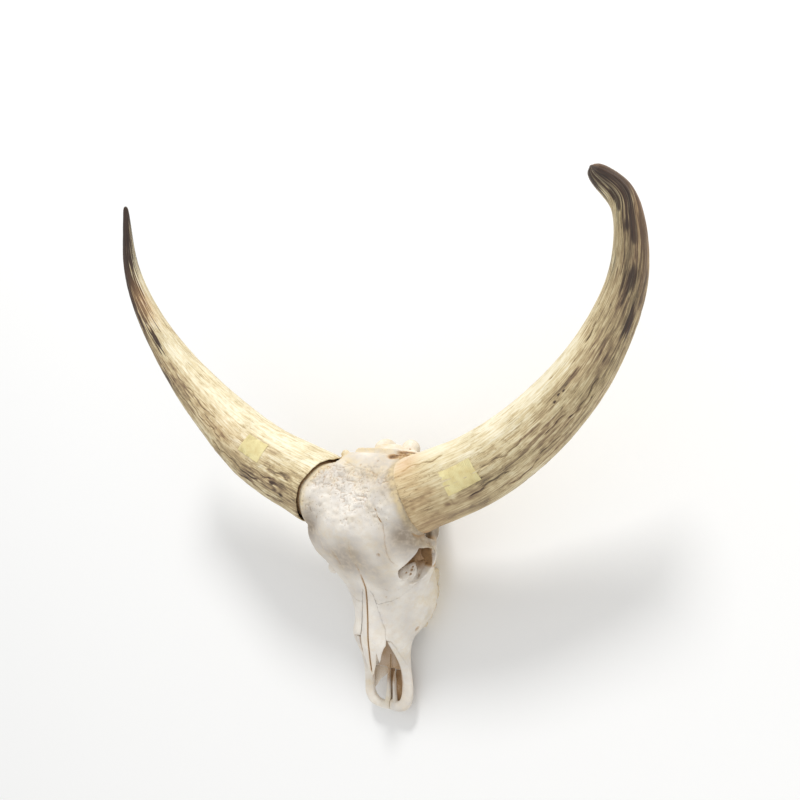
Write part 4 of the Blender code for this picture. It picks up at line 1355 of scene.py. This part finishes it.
# Cracks, sutures and furrows in the bone: points on the surface, depth, width and how dark they are.
GROOVES = {
    "left_temporal_line": (
        [
            (60, -104, 236), (61, -113, 236), (69, -131, 229), (72, -149, 222),
            (71, -171, 212), (71, -189, 199), (76, -198, 189), (91, -204, 186),
        ],
        1.6, 1.3, 0.95,
    ),
    "right_temporal_line": (
        [(-62, -118, 235), (-70, -134, 228), (-73, -152, 220), (-71, -172, 211), (-70, -190, 198)],
        0.7, 1.3, 0.35,
    ),
    "crest_suture": (
        [(-34, -27, 211), (-24, -31, 214), (-3, -39, 219), (9, -42, 221), (28, -44, 222), (46, -50, 223)],
        1.1, 1.2, 0.8,
    ),
    # The brow furrows' darkness is partly painted shade in the folds.
    "right_brow_furrow": (
        [(-58, -181, 211), (-52, -190, 205), (-44, -201, 195), (-39, -212, 185)],
        1.8, 2.4, 0.55,
    ),
    "left_brow_furrow": (
        [(54, -187, 205), (50, -197, 199), (45, -214, 186), (40, -232, 168)],
        0.9, 2.6, 0.15,
    ),
    "forehead_midline": (
        [(-1, -140, 233), (0, -170, 221), (-2, -200, 200), (-1, -222, 177)],
        0.5, 1.0, 0.25,
    ),
    "tear_bone_suture": (
        [(28, -246, 155), (37, -249, 150), (52, -248, 140), (62, -247, 137)],
        0.7, 1.0, 0.4,
    ),
    "cheek_suture": (
        [(80, -232, 158), (66, -262, 112), (70, -286, 82), (84, -300, 50)],
        0.35, 1.0, 0.1,
    ),
    # The crest hollow's lines are painted dark brown, mostly as the shade in the recess behind the left horn.
    "crest_hollow": (
        [(50, -17, 187), (54, -14, 182), (57, -10, 176), (53, -4, 156), (55, -1, 143), (58, -1, 131)],
        4.0, 6.5, 1.0,
    ),
    "crest_hollow_foot": (
        [(48, -5, 153), (50, -2, 146), (52, 0, 136), (56, 0, 127), (60, 0, 121)],
        2.5, 7.5, 1.0,
    ),
    "crest_hollow_edge": (
        [(59, -11, 180), (67, -8, 172), (71, -7, 165)],
        3.0, 5.0, 0.9,
    ),
    "nasal_root": (
        [(-1, -210, 190), (0, -224, 176), (0, -236, 165), (0, -248, 155), (0, -264, 147)],
        1.1, 1.3, 0.9,
    ),
}
# How far noise shakes a groove's line, and its share in x, y and z.
GROOVE_SHAKE, SHAKE_SHARES = 1.3, (0.7, 0.7, 0.0)

# Holes and pits: a point on the surface, radius, depth and how dark.
PITS = [
    (54, -187, 205, 2.7, 3.6, 1.0),
    (-44, -201, 195, 2.4, 3.0, 0.9),
    (-41, -75, 231, 1.6, 1.6, 0.6),
    (2, -85, 233, 1.7, 1.8, 0.5),
    (-54, -96, 238, 1.5, 1.5, 0.5),
    (-57, -60, 233, 1.5, 1.4, 0.5),
    (-74, -84, 241, 2.0, 1.8, 0.7),
    (6, -34, 216, 1.6, 2.0, 0.9),
    (36, -24, 208, 1.8, 2.4, 0.9),
    (38, -263, 140, 1.4, 1.4, 0.5),
    (38, -277, 132, 1.3, 1.2, 0.4),
    (44, -271, 131, 1.1, 1.0, 0.3),
    (40, 7, 108, 2.4, 2.4, 0.9),
    (24, 2, 116, 2.2, 2.2, 0.8),
    (127, -149, 173, 1.9, 2.6, 1.0),
    (131, -146, 172, 1.6, 2.4, 1.0),
    (64, -321, 60, 4.2, 6.0, 0.9),
    (-64, -321, 60, 4.2, 6.0, 0.9),
]

# The holes of the porous plates in the orbits: distance from the middle of the head, y and radius.
LACRIMAL_HOLES = [
    (86.1, -203.6, 1.6), (86.2, -208.7, 2.0), (86.5, -215.9, 1.8),
    (78.8, -214.4, 1.3), (86.2, -222.7, 1.5), (82.8, -230.3, 1.3),
]
LACRIMAL_DEPTH = 2.6

# The boss where the hair whorl was: x and y of its middle, its height and its width.
WHORL_X, WHORL_Y, WHORL_HEIGHT, WHORL_WIDTH = -3, -134, 2.2, 19
# How far behind the rim, as distance along the horn, the bone starts to draw in.
NECK_START = -15
# A grease spot on the crest, and the crumbs under the left sheath's rim.
GREASE_SPOT, DARK_CRUMBS = (-53, -14, 190), (126, -147, 171)
# What paint_bone stores for each point, in its order.
BONE_PAINTS = ("shade_and_tan", "stain", "dirt_and_shade", "pores")


def line_distance(points, line, reach=12.0):
    """Distance from each point to a line through corners, or reach where it is further."""
    best = np.full(len(points), reach)
    near = np.all((points > line.min(0) - reach) & (points < line.max(0) + reach), axis=1)
    some, least = points[near], best[near]
    for a, b in zip(line[:-1], line[1:]):
        along = b - a
        t = np.clip((some - a) @ along / (along @ along), 0, 1)
        least = np.minimum(least, np.linalg.norm(some - a - t[:, None] * along, axis=1))
    best[near] = least
    return best


def fine_line(corners):
    """A smooth curve through corners on the surface, shaken by two sizes of noise."""
    line = smooth_rows(corners, 60)
    shake = [lattice_noise(line, 7.0, 50 + k) + lattice_noise(line, 3.0, 60 + k) for k in range(3)]
    return line + np.column_stack(shake) * GROOVE_SHAKE * SHAKE_SHARES


def bone_roughness(points):
    """The bone's own unevenness: broad waves, small waves and grain, in millimetres."""
    return layered_noise(points, 34, 2, 31) * 0.45 + layered_noise(points, 9, 3, 33) * 0.17


def rim_place(points, side):
    """How far each point lies outside a sheath's rim along the horn, and its distance from the horn's
    axis, as a share of the horn's radius and as a vector."""
    line, radius, tangent, nose, upright, _ = horn_frames(side, 200)
    off = points - line[0]
    along = off @ tangent[0]
    spoke = off - along[:, None] * tangent[0]
    angle = np.degrees(np.arctan2(spoke @ nose[0], spoke @ upright[0]))
    return along - rim_shift(side, angle), np.linalg.norm(spoke, axis=1) / radius[0], spoke


def collar(points):
    """1 on the bony collars beside the sheaths' rims, fading over the forehead."""
    total = np.zeros(len(points))
    for side in HORNS:
        along, out, _ = rim_place(points, side)
        total = np.maximum(total, step(-26, -6, along) * step(0.5, 0.8, out) * step(30, 12, along))
    return total


def necked(points):
    """Points with the bone drawn in under the rims, so that the sheaths stand off it."""
    for side in HORNS:
        along, out, spoke = rim_place(points, side)
        radius = HORNS[side]["radii"][0]
        most = 1 - NECK[side] / radius * step(NECK_START, -1, along)
        share = np.where((along > NECK_START) & (out < 1.14) & (out > most), most / np.maximum(out, 0.1), 1)
        points = points + spoke * (share - 1)[:, None]
    return points


def old_forehead(points):
    """1 where the forehead is lumpy and pitted, between and behind the horns."""
    x, y, z = points.T
    return step(196, 206, z) * step(-165, -120, y) * step(-28, -42, y) * step(104, 78, np.abs(x))


def tooth_region(points):
    """1 on the cheek teeth."""
    x, y, z = points.T
    from_row = np.abs(np.interp(y, *np.array(TOOTH_LINE, float).T) - 12 - np.abs(x))
    return step(33, 28, z) * step(-332, -326, y) * step(-174, -178, y) * step(34, 28, from_row)


def lacrimal_plate(points):
    """1 on the porous plates in the front of the orbits: inside an ellipsoid on each side."""
    off = (np.abs(points) - (77, 218, 138)) / (19, 24, 23)
    return step(1.2, 0.8, np.linalg.norm(off, axis=1)) * (points[:, 1] < 0)


def lacrimal_holes(points):
    """1 in the middle of each hole of the porous plates."""
    holes = [bell(np.hypot(np.abs(points[:, 0]) - x, points[:, 1] - y), r) for x, y, r in LACRIMAL_HOLES]
    return np.max(holes, axis=0) * step(128, 133, points[:, 2]) * step(160, 150, points[:, 2])


def skull_relief(points):
    """How far the skull's surface stands out or in, in millimetres.

    It sums noises, each kept to its region by smooth steps, and bells across the grooves and pits.
    """
    x, y, z = points.T
    height = bone_roughness(points)
    # The old forehead is lumpy, with winding channels where two noises cross zero.
    lumps = lattice_noise(points, 15, 41) * 1.6 + lattice_noise(points, 7, 42) * 1.4
    worms = bell(lattice_noise(points, 8.5, 43), 0.16) + 0.6 * bell(lattice_noise(points, 5.5, 44), 0.14)
    patchy = step(-0.1, 0.45, lattice_noise(points, 30, 45) + 0.35 * bell(np.hypot(x + 35, y + 75), 45))
    height += old_forehead(points) * (lumps - worms * patchy * 2.1)
    # The collars are porous.
    pores = step(0.35, 0.6, lattice_noise(points, 3.6, 47)) * 0.9
    height += collar(points) * (lattice_noise(points, 4.2, 46) * 0.45 - pores)
    # Low ridges spread from the whorl's boss towards the nose.
    from_boss = np.hypot(x - WHORL_X, y - WHORL_Y)
    fan = np.arctan2(x - WHORL_X, -(y - WHORL_Y))
    spread = step(0, 12, from_boss) * bell(from_boss - 16, 22) * step(1.5, 0.9, np.abs(fan))
    ridges = 0.35 * np.sin(fan * 7 + 1.5 * lattice_noise(points, 14, 48)) * spread
    top = step(190, 205, z)
    height += top * (WHORL_HEIGHT * bell(from_boss, WHORL_WIDTH) + ridges)
    # A shallow trough runs down each side of the forehead, outside the temporal line.
    height -= top * 3.0 * bell(np.abs(x) - 88, 14) * bell(y + 146, 34)
    back = step(-34, -14, y) * step(60, 90, z)
    height += back * (lattice_noise(points, 11, 49) * 0.5 + lattice_noise(points, 5, 50) * 0.4)
    for corners, depth, width, _ in GROOVES.values():
        height -= depth * bell(line_distance(points, fine_line(corners)), width)
    for *place, radius, depth, _ in PITS:
        height -= depth * bell(np.linalg.norm(points - place, axis=1), radius)
    return (height - LACRIMAL_DEPTH * lacrimal_holes(points)) * (1 - 0.8 * tooth_region(points))


def inside_nose(points, normals):
    """1 on the walls of the nasal passage, which face its middle."""
    x, y, z = points.T
    facing = step(0.1, -0.3, (normals[:, 0] * x + normals[:, 2] * (z - 76)) / np.hypot(x, z - 76))
    middle = np.interp(y, (-440, -360, -262), (76, 80, 88))
    half = np.interp(y, (-440, -360, -262), (52, 44, 24))
    wide = np.interp(y, (-430, -384, -335, -262), (33, 31.5, 31.5, 17))
    within = step(1.3, 1.1, (x / wide) ** 4 + ((z - middle) / half) ** 4)
    return facing * within * step(-440, -425, y) * step(-240, -256, y)


def inside_orbit(points):
    """Painted shade with some grime in the eye sockets: none at the mouth, more deep inside and under the
    upper rim.
    """
    out, along, upright = orbit_axes()
    off = np.column_stack([np.abs(points[:, 0]), points[:, 1:]]) - ORBIT_CENTRE
    size = (off @ along / (ORBIT_LENGTH / 2)) ** 2 + (off @ upright / (ORBIT_HEIGHT / 2)) ** 2
    back = step(-208, -190, points[:, 1] - 0.25 * off @ upright)
    deep = step(1.45, 1.15, size) * step(-4, -22, off @ out) * (0.12 + 0.88 * back)
    # Behind the socket the painted shade goes on down the side of the jaw, inside the cheek arch.
    x, y, z = np.abs(points[:, 0]), points[:, 1], points[:, 2]
    below = step(50, 56, x) * step(113, 110, x) * step(-206, -196, y) * step(-140, -160, y)
    below = below * step(40, 60, z) * step(128, 120, z)
    return np.maximum(deep, below)


def muzzle_dirt_and_shade(points, blotch):
    """Painted shade on the slot's floor, the shelf between the premaxillae and the keel, and a dark line
    along the middle of the nose.
    """
    x, y, z = points.T
    floor = step(24, 22.7, z) * step(22, 20.5, np.abs(x - 7.5)) * step(-472, -469, y) * step(-385, -400, y)
    shelf = 0.4 * step(29, 27, z) * step(-452, -446, y) * step(-385, -400, y)
    shelf = shelf * step(-11, -13, x) * step(-40, -37, x)
    middle = bell(x, 2.0) * step(-222, -236, y) * step(-408, -398, y) * step(92, 98, z)
    keel = bell(x + 4.5, 2.4) * step(-374, -384, y) * step(-440, -410, y) * step(44, 40, z) * step(28, 30, z)
    slots = np.maximum(floor * (0.5 + 0.3 * blotch), shelf * (0.3 + 0.4 * blotch))
    return np.maximum.reduce([slots, middle * 0.75, keel * 0.8])


def bone_dirt_and_shade(points, normals, crease, blotch):
    """Brown, 0 to 1: grime in the cracks and sutures, and painted shade with some grime in the hollows,
    the nose, the eye sockets, holes and pits, and under the sheaths' rims.
    """
    x, y, z = points.T
    # Painted shade, warm brown, in the nasal passage, the eye sockets and the foramen magnum.
    nose = inside_nose(points, normals) * (0.3 + 0.22 * blotch)
    orbit = inside_orbit(points) * (1 - 0.9 * lacrimal_plate(points)) * (0.5 + 0.35 * blotch)
    foramen = step(1.5, 1.0, np.hypot(x / 17, (z - 104) / 16)) * step(-8, -22, y) * step(-80, -60, y)
    crumbs = bell(np.linalg.norm(points - DARK_CRUMBS, axis=1), 9)
    dirt_and_shade = [crease, nose, orbit, foramen * 0.9, crumbs * 0.5]
    # The holes of the porous plates are painted dark, as the shade inside them.
    dirt_and_shade += [lacrimal_holes(points), muzzle_dirt_and_shade(points, blotch)]
    # Sutures and cracks are dark with grime; brow furrows and the crest hollow partly with painted shade.
    for corners, _, width, dark in GROOVES.values():
        distance = line_distance(points, fine_line(corners))
        dirt_and_shade.append(dark * bell(distance, width * 0.9) * (0.6 + 0.6 * blotch))
    # Pits are painted dark, as the shade inside them.
    for *place, radius, _, dark in PITS:
        dirt_and_shade.append(dark * bell(np.linalg.norm(points - place, axis=1), radius * 1.05))
    # Painted shade on the bone just under each sheath's rim, where it meets the sheath.
    for side in HORNS:
        along, out, _ = rim_place(points, side)
        dirt_and_shade.append(0.9 * step(-3, 0.5, along) * step(0.55, 0.7, out) * step(1.05, 0.98, out))
    return np.maximum.reduce(dirt_and_shade)


def bone_stain(points, rim, behind, blotch):
    """Yellow grease, 0 to 1: on collars, crest, back of the head, teeth and the end of the nose."""
    _, y, z = points.T
    suture = bell(line_distance(points, fine_line(GROOVES["crest_suture"][0]), 40), 15)
    nose_end = step(-395, -470, y) * 0.35
    stain = rim * 0.7 + behind * (0.2 + 0.4 * blotch) + suture * 0.4
    stain += tooth_region(points) * 0.55
    stain += nose_end * blotch
    stain += bell(np.linalg.norm(points - GREASE_SPOT, axis=1), 6)
    stain += 0.18 * step(0.55, 0.8, blotch) + 0.3 * step(120, 40, z) * blotch * step(-330, -200, y)
    return stain


def paint_bone(body):
    """Painted shade with yellow-brown, stains, grime with painted shade, and pores of a piece of bone,
    from its points' places and from its hollows.
    """
    points, normals = points_of(body), normals_of(body)
    x, y, z = points.T
    blotch = layered_noise(points, 22, 3, 81) * 0.5 + 0.5
    rim = collar(points)
    behind = step(-40, -6, y) * step(50, 90, z) * (1 - 0.75 * step(176, 196, z))
    # A point lies in a hollow if easing the surface moves it outwards.
    hollow = np.einsum("ij,ij->i", eased(points, edges_of(body), 4, 0.6) - points, normals)
    # Hollows are darkened: painted shade with some grime, more at the collars and the back of the head.
    crease = step(0.1, 0.75, hollow) * (0.3 + 0.35 * np.maximum(rim, behind))
    # Painted shade: the temples, in the horns' shadows, and the lower forehead are darker than the face.
    low = bell(np.hypot(x / 62, (y + 200) / 34), 1) * step(120, 150, z)
    temple = bell(np.hypot((np.abs(x) - 106) / 34, (y + 150) / 28), 1) * step(90, 110, z)
    # The lower forehead also has a real yellow-brown stain, and the noise adds random tone.
    shade_and_tan = 0.85 * low + 1.1 * temple + 0.25 * layered_noise(points, 40, 2, 83)
    # Painted shade also darkens the top near the poll, and the collar on the left is darker too.
    shade_and_tan = shade_and_tan + 0.4 * step(-95, -55, y) * step(145, 165, z) + 0.55 * rim * step(20, 40, x)
    stain = bone_stain(points, rim, behind, blotch) * (1 - 0.8 * temple)
    dirt_and_shade = bone_dirt_and_shade(points, normals, crease, blotch)
    pores = old_forehead(points) + rim + 0.6 * behind
    for name, values in zip(BONE_PAINTS, (shade_and_tan * (1 - lacrimal_plate(points)), stain, dirt_and_shade, pores)):
        paint(body, name, np.clip(values, 0, 1))


# ---------------------------------------------------------------- materials

# Kinds of node: type, settings, the inputs that a call fills in order, and the output that it returns.
NODE_KINDS = {
    "add": ("ShaderNodeMath", {"operation": "ADD"}, (0, 1), 0),
    "multiply": ("ShaderNodeMath", {"operation": "MULTIPLY"}, (0, 1), 0),
    "absolute": ("ShaderNodeMath", {"operation": "ABSOLUTE"}, (0,), 0),
    # The value, two bounds, and what it gives at or beyond each of them, which is 0 and 1 if not said.
    "range": ("ShaderNodeMapRange", {}, (0, 1, 2, 3, 4), 0),
    "mix": ("ShaderNodeMix", {"data_type": "RGBA"}, (0, 6, 7), 2),
    "ramp": ("ShaderNodeValToRGB", {}, (0,), 0),
    "object_place": ("ShaderNodeTexCoord", {}, (), "Object"),
    "painted": ("ShaderNodeAttribute", {}, (), "Fac"),
    "painted_place": ("ShaderNodeAttribute", {}, (), "Vector"),
    "mapping": ("ShaderNodeMapping", {}, ("Vector", "Scale", "Location"), 0),
    "noise": ("ShaderNodeTexNoise", {}, ("Vector", "Detail", "Scale"), 0),
    "bump": ("ShaderNodeBump", {}, ("Strength", "Distance", "Height"), 0),
}


def linear(colour):
    """Linear red, green, blue, alpha from an sRGB hex value such as E9E2D6."""
    levels = [int(colour[i:i + 2], 16) / 255 for i in (0, 2, 4)]
    return (*(v / 12.92 if v <= 0.04045 else ((v + 0.055) / 1.055) ** 2.4 for v in levels), 1.0)


def add_node(tree, kind, *inputs, **settings):
    """Adds a node of one of NODE_KINDS, fills its inputs in order and returns its output.

    An input is a value, or another node's output to link.
    """
    node_type, fixed, sockets, output = NODE_KINDS[kind]
    made = tree.nodes.new(node_type)
    for name, value in (fixed | settings).items():
        setattr(made, name, value)
    for socket, value in zip(sockets, inputs):
        if isinstance(value, bpy.types.NodeSocket):
            tree.links.new(value, made.inputs[socket])
        else:
            made.inputs[socket].default_value = value
    return made.outputs[output]


def new_material(name, roughness):
    """A material with its node tree and its shader, which has the given roughness."""
    made = bpy.data.materials.new(name)
    made.use_nodes = True
    shader = made.node_tree.nodes["Principled BSDF"]
    shader.inputs["Roughness"].default_value = roughness
    return made, made.node_tree, shader


def pattern(tree, place, size, detail, seed=0.0):
    """Noise, 0 to 1, whose lumps are about size millimetres, or one size for each axis."""
    scale = tuple(1 / np.broadcast_to(np.asarray(size, float), 3))
    return add_node(tree, "noise", add_node(tree, "mapping", place, scale, (seed, seed, seed)), detail, 1.0)


def millimetres(tree):
    """Object coordinates in millimetres."""
    return add_node(tree, "mapping", add_node(tree, "object_place"), (1 / MM, 1 / MM, 1 / MM))


def matt_floor():
    """Matt white studio board."""
    made, _, shader = new_material("matt_floor", 0.9)
    shader.inputs["Base Color"].default_value = linear("F6F6F5")
    shader.inputs["Specular IOR Level"].default_value = 0.1
    return made


def bleached_bone():
    """Bone bleached by peroxide and sun: chalky off-white, greyer where it is dense, with yellow grease
    stains at the horns and the back, brown grime and painted shade in the hollows, painted shade on the
    temples and forehead, and pores in the old forehead."""
    made, tree, shader = new_material("bleached_bone", 0.62)
    add = partial(add_node, tree)
    place = millimetres(tree)
    cloud = pattern(tree, place, 38, 3)
    haze = pattern(tree, place, 24, 2, 11.9)
    mottle = pattern(tree, place, 9, 4, 7.3)
    speck = pattern(tree, place, 2.4, 1, 5.7)
    grain = pattern(tree, place, 1.6, 2, 3.1)
    shade_and_tan, stain, dirt_and_shade, pores = (add("painted", attribute_name=name) for name in BONE_PAINTS)
    stain = add("multiply", stain, add("range", mottle, 0.3, 0.6, 0.55, 1.1))
    dirt_and_shade = add("add", dirt_and_shade, add("range", grain, 0.3, 0.7, -0.08, 0.08))
    pores = add("multiply", pores, add("range", speck, 0.66, 0.74))
    colour = linear("F4EEE3")
    # Each coat lies on the ones before it: how dense it is, and its colour.
    for share, coat in (
        (add("range", cloud, 0.35, 0.65), "E3DDD4"),
        (add("range", haze, 0.5, 0.7, 0, 0.22), "CFCDCF"),
        # Painted shade on the temples and forehead, with a real stain on the lower forehead.
        (add("multiply", shade_and_tan, 0.85), "8F7E6A"),
        (add("range", mottle, 0.45, 0.7, 0, 0.4), "E6D8C4"),
        (add("range", stain, 0, 1, 0, 0.9), "DFC998"),
        # Brown grime, and painted shade in hollows, holes and under the rims: light brown, then dark brown.
        (add("range", dirt_and_shade, 0.06, 0.6), "B79367"),
        (add("range", dirt_and_shade, 0.5, 1.0), "6E5138"),
        (add("multiply", pores, 0.5), "9C8361"),
    ):
        colour = add("mix", share, colour, linear(coat))
    tree.links.new(colour, shader.inputs["Base Color"])
    height = add("add", add("multiply", grain, 0.45), add("multiply", mottle, 0.7))
    height = add("add", height, add("multiply", pores, -0.9))
    tree.links.new(add("bump", 0.75, 0.0008, height), shader.inputs["Normal"])
    return made


# Tone of the horn's keratin: where each colour lies, from cream to dark brown.
HORN_TONES = (
    (0.0, "F0E8CF"),
    (0.25, "DFD0A8"),
    (0.45, "C4AF86"),
    (0.65, "9C8463"),
    (0.85, "6D5744"),
    (1.0, "45362C"),
)


def horn_keratin():
    """Old horn sheath, which is keratin fibres laid lengthwise: straw and cream, browner and split
    where it has weathered, and near black and a little glossier at the tip."""
    made, tree, shader = new_material("horn_keratin", 0.5)
    add = partial(add_node, tree)
    place = add("painted_place", attribute_name="grain")
    fibres = pattern(tree, place, (2.2, 2.2, 60), 4)
    strands = pattern(tree, place, (0.9, 0.9, 26), 2, 4.4)
    scuffs = pattern(tree, place, (5, 5, 16), 6, 21.7)
    seams = pattern(tree, place, (3.4, 3.4, 48), 3, 17.3)
    clouds = pattern(tree, place, (30, 30, 70), 3, 8.1)
    tone, tip, warm, fibrous = (add("painted", attribute_name=name) for name in HORN_PAINTS)
    lines = add("range", fibres, 0.35, 0.65, -0.15, 0.15)
    lines = add("add", lines, add("range", strands, 0.38, 0.62, -0.11, 0.11))
    lines = add("add", lines, add("range", scuffs, 0.42, 0.58, -0.08, 0.08))
    tone = add("add", tone, add("multiply", lines, fibrous))
    # Thin dark checks follow the fibres where the clouds are dense.
    from_seam = add("absolute", add("add", seams, -0.5))
    checks = add("multiply", add("range", from_seam, 0.004, 0.02, 1, 0), add("range", clouds, 0.46, 0.56))
    ramp = add("ramp", add("add", tone, add("multiply", checks, 0.3)))
    tones = ramp.node.color_ramp.elements
    while len(tones) < len(HORN_TONES):
        tones.new(0.5)
    for element, (at, colour) in zip(tones, HORN_TONES):
        element.position = at
        element.color = linear(colour)
    colour = add("mix", add("range", clouds, 0.4, 0.7, 0, 0.3), ramp, linear("C9B98C"))
    colour = add("mix", add("multiply", warm, 0.6), colour, linear("D29A62"))
    dark = add("mix", add("range", fibres, 0.35, 0.7), linear("271D19"), linear("563F30"))
    dark = add("mix", add("multiply", warm, 0.9), dark, linear("9A7550"))
    tip = add("add", tip, add("range", fibres, 0.3, 0.7, -0.2, 0.2))
    colour = add("mix", add("range", tip, 0.3, 0.75), colour, dark)
    tree.links.new(colour, shader.inputs["Base Color"])
    tree.links.new(add("range", tip, 0.3, 0.8, 0.56, 0.4), shader.inputs["Roughness"])
    height = add("add", fibres, add("multiply", strands, 0.6))
    height = add("add", height, add("multiply", checks, -0.7))
    tree.links.new(add("bump", 0.6, 0.0007, height), shader.inputs["Normal"])
    return made


def paper_tape():
    """Old paper masking tape: matt, pale yellow with faint blotches, and creped crosswise."""
    made, tree, shader = new_material("paper_tape", 0.75)
    add = partial(add_node, tree)
    place = millimetres(tree)
    crepe = pattern(tree, place, (1.1, 4, 4), 2)
    blotch = pattern(tree, place, 12, 2, 2.2)
    colour = add("mix", add("range", blotch, 0.35, 0.7), linear("E9DDA6"), linear("DCCA90"))
    tree.links.new(colour, shader.inputs["Base Color"])
    tree.links.new(add("bump", 0.4, 0.0003, crepe), shader.inputs["Normal"])
    return made


# ---------------------------------------------------------------- assembly

# Most triangles that the cranium and each upper jaw keep.
CRANIUM_MOST, JAW_MOST = 190000, 120000
# How far a sheath's seat is cleared outside its rim, and how far the cutters reach past the skull.
SEAT_OVER = 6.0
SIDE_REACH, TOP_REACH, NOSE_REACH = 300.0, 400, -600


def finish(body, finish_material, slot, *nodes):
    """Paint and lean for bone, then smooth shading, material, and the CAD nodes that the piece stands for."""
    if slot == "bone":
        paint_bone(body)
        move_points(body, leaned(points_of(body)))
    body.data.materials.clear()
    body.data.materials.append(finish_material)
    body.data.shade_smooth()
    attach(body, "root")
    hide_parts(*nodes)


def make_sheaths():
    """The two horn sheaths, painted, with the place of each point on the straight cylinder."""
    keratin = horn_keratin()
    for side in HORNS:
        form, places, heights = horn_sheath(side)
        sheath = mesh_object(f"sheath_{side}", form)
        for name, values in zip(HORN_PAINTS, horn_paint(side, places, heights)):
            paint(sheath, name, values)
        paint(sheath, "grain", places)
        finish(sheath, keratin, "horn", f"horn_{side}")


def make_bones():
    """The seven bones: the skull is carved, seats are cut in it, and the rest is parted at the joints."""
    bone = bleached_bone()
    skull = fused_skull()
    points = points_of(skull)
    move_points(skull, necked(points + normals_of(skull) * skull_relief(points)[:, None]))
    # It stands on the ground, at height 0.
    combine(skull, box((-400, -700, -200), (400, 300, 0)), "DIFFERENCE")
    for side, sign in SIDES.items():
        combine(skull, nasal_bone(sign, grow=NASAL_SEAT), "DIFFERENCE")
        combine(skull, horn_sheath(side, grow=SEAT_GAP, over=SEAT_OVER)[0], "DIFFERENCE")
        nasal = mesh_object(f"nasal_bone_{side}", nasal_bone(sign))
        finish(nasal, bone, "bone", f"nasal_{side}")
        nose = mesh_object(f"nose_bone_{side}", premaxilla(sign))
        finish(nose, bone, "bone", f"premaxilla_{side}")
    front = even_line([*NOSE_SUTURE, (NOSE_SUTURE[-1][0], TOP_REACH)], 100)
    gap = SUTURE_GAP / 2
    for side, low, high in (("left", gap, SIDE_REACH), ("right", -SIDE_REACH, -gap)):
        jaw = new_object("jaw", skull.data.copy())
        combine(jaw, jaw_cutter(front, 0.0, low, high), "INTERSECT")
        part = mesh_object(f"jaw_{side}", largest_part(jaw))
        thinned(part, JAW_MOST)
        finish(part, bone, "bone", f"upper_jaw_{side}")
    ahead = even_line([(NOSE_REACH, -60), (NOSE_REACH, TOP_REACH)], 100)
    combine(skull, jaw_cutter(ahead, gap, -SIDE_REACH, SIDE_REACH), "DIFFERENCE")
    part = mesh_object("skull_cap", largest_part(skull))
    thinned(part, CRANIUM_MOST)
    finish(part, bone, "bone", "cranium")


def make_labels():
    """The two blank paper slips on the horns."""
    paper = paper_tape()
    for side in LABELS:
        slip = mesh_object(f"slip_{side}", label(side))
        finish(slip, paper, "paper_slip", f"label_{side}")


make_camera()
make_studio()
make_sheaths()
make_bones()
make_labels()
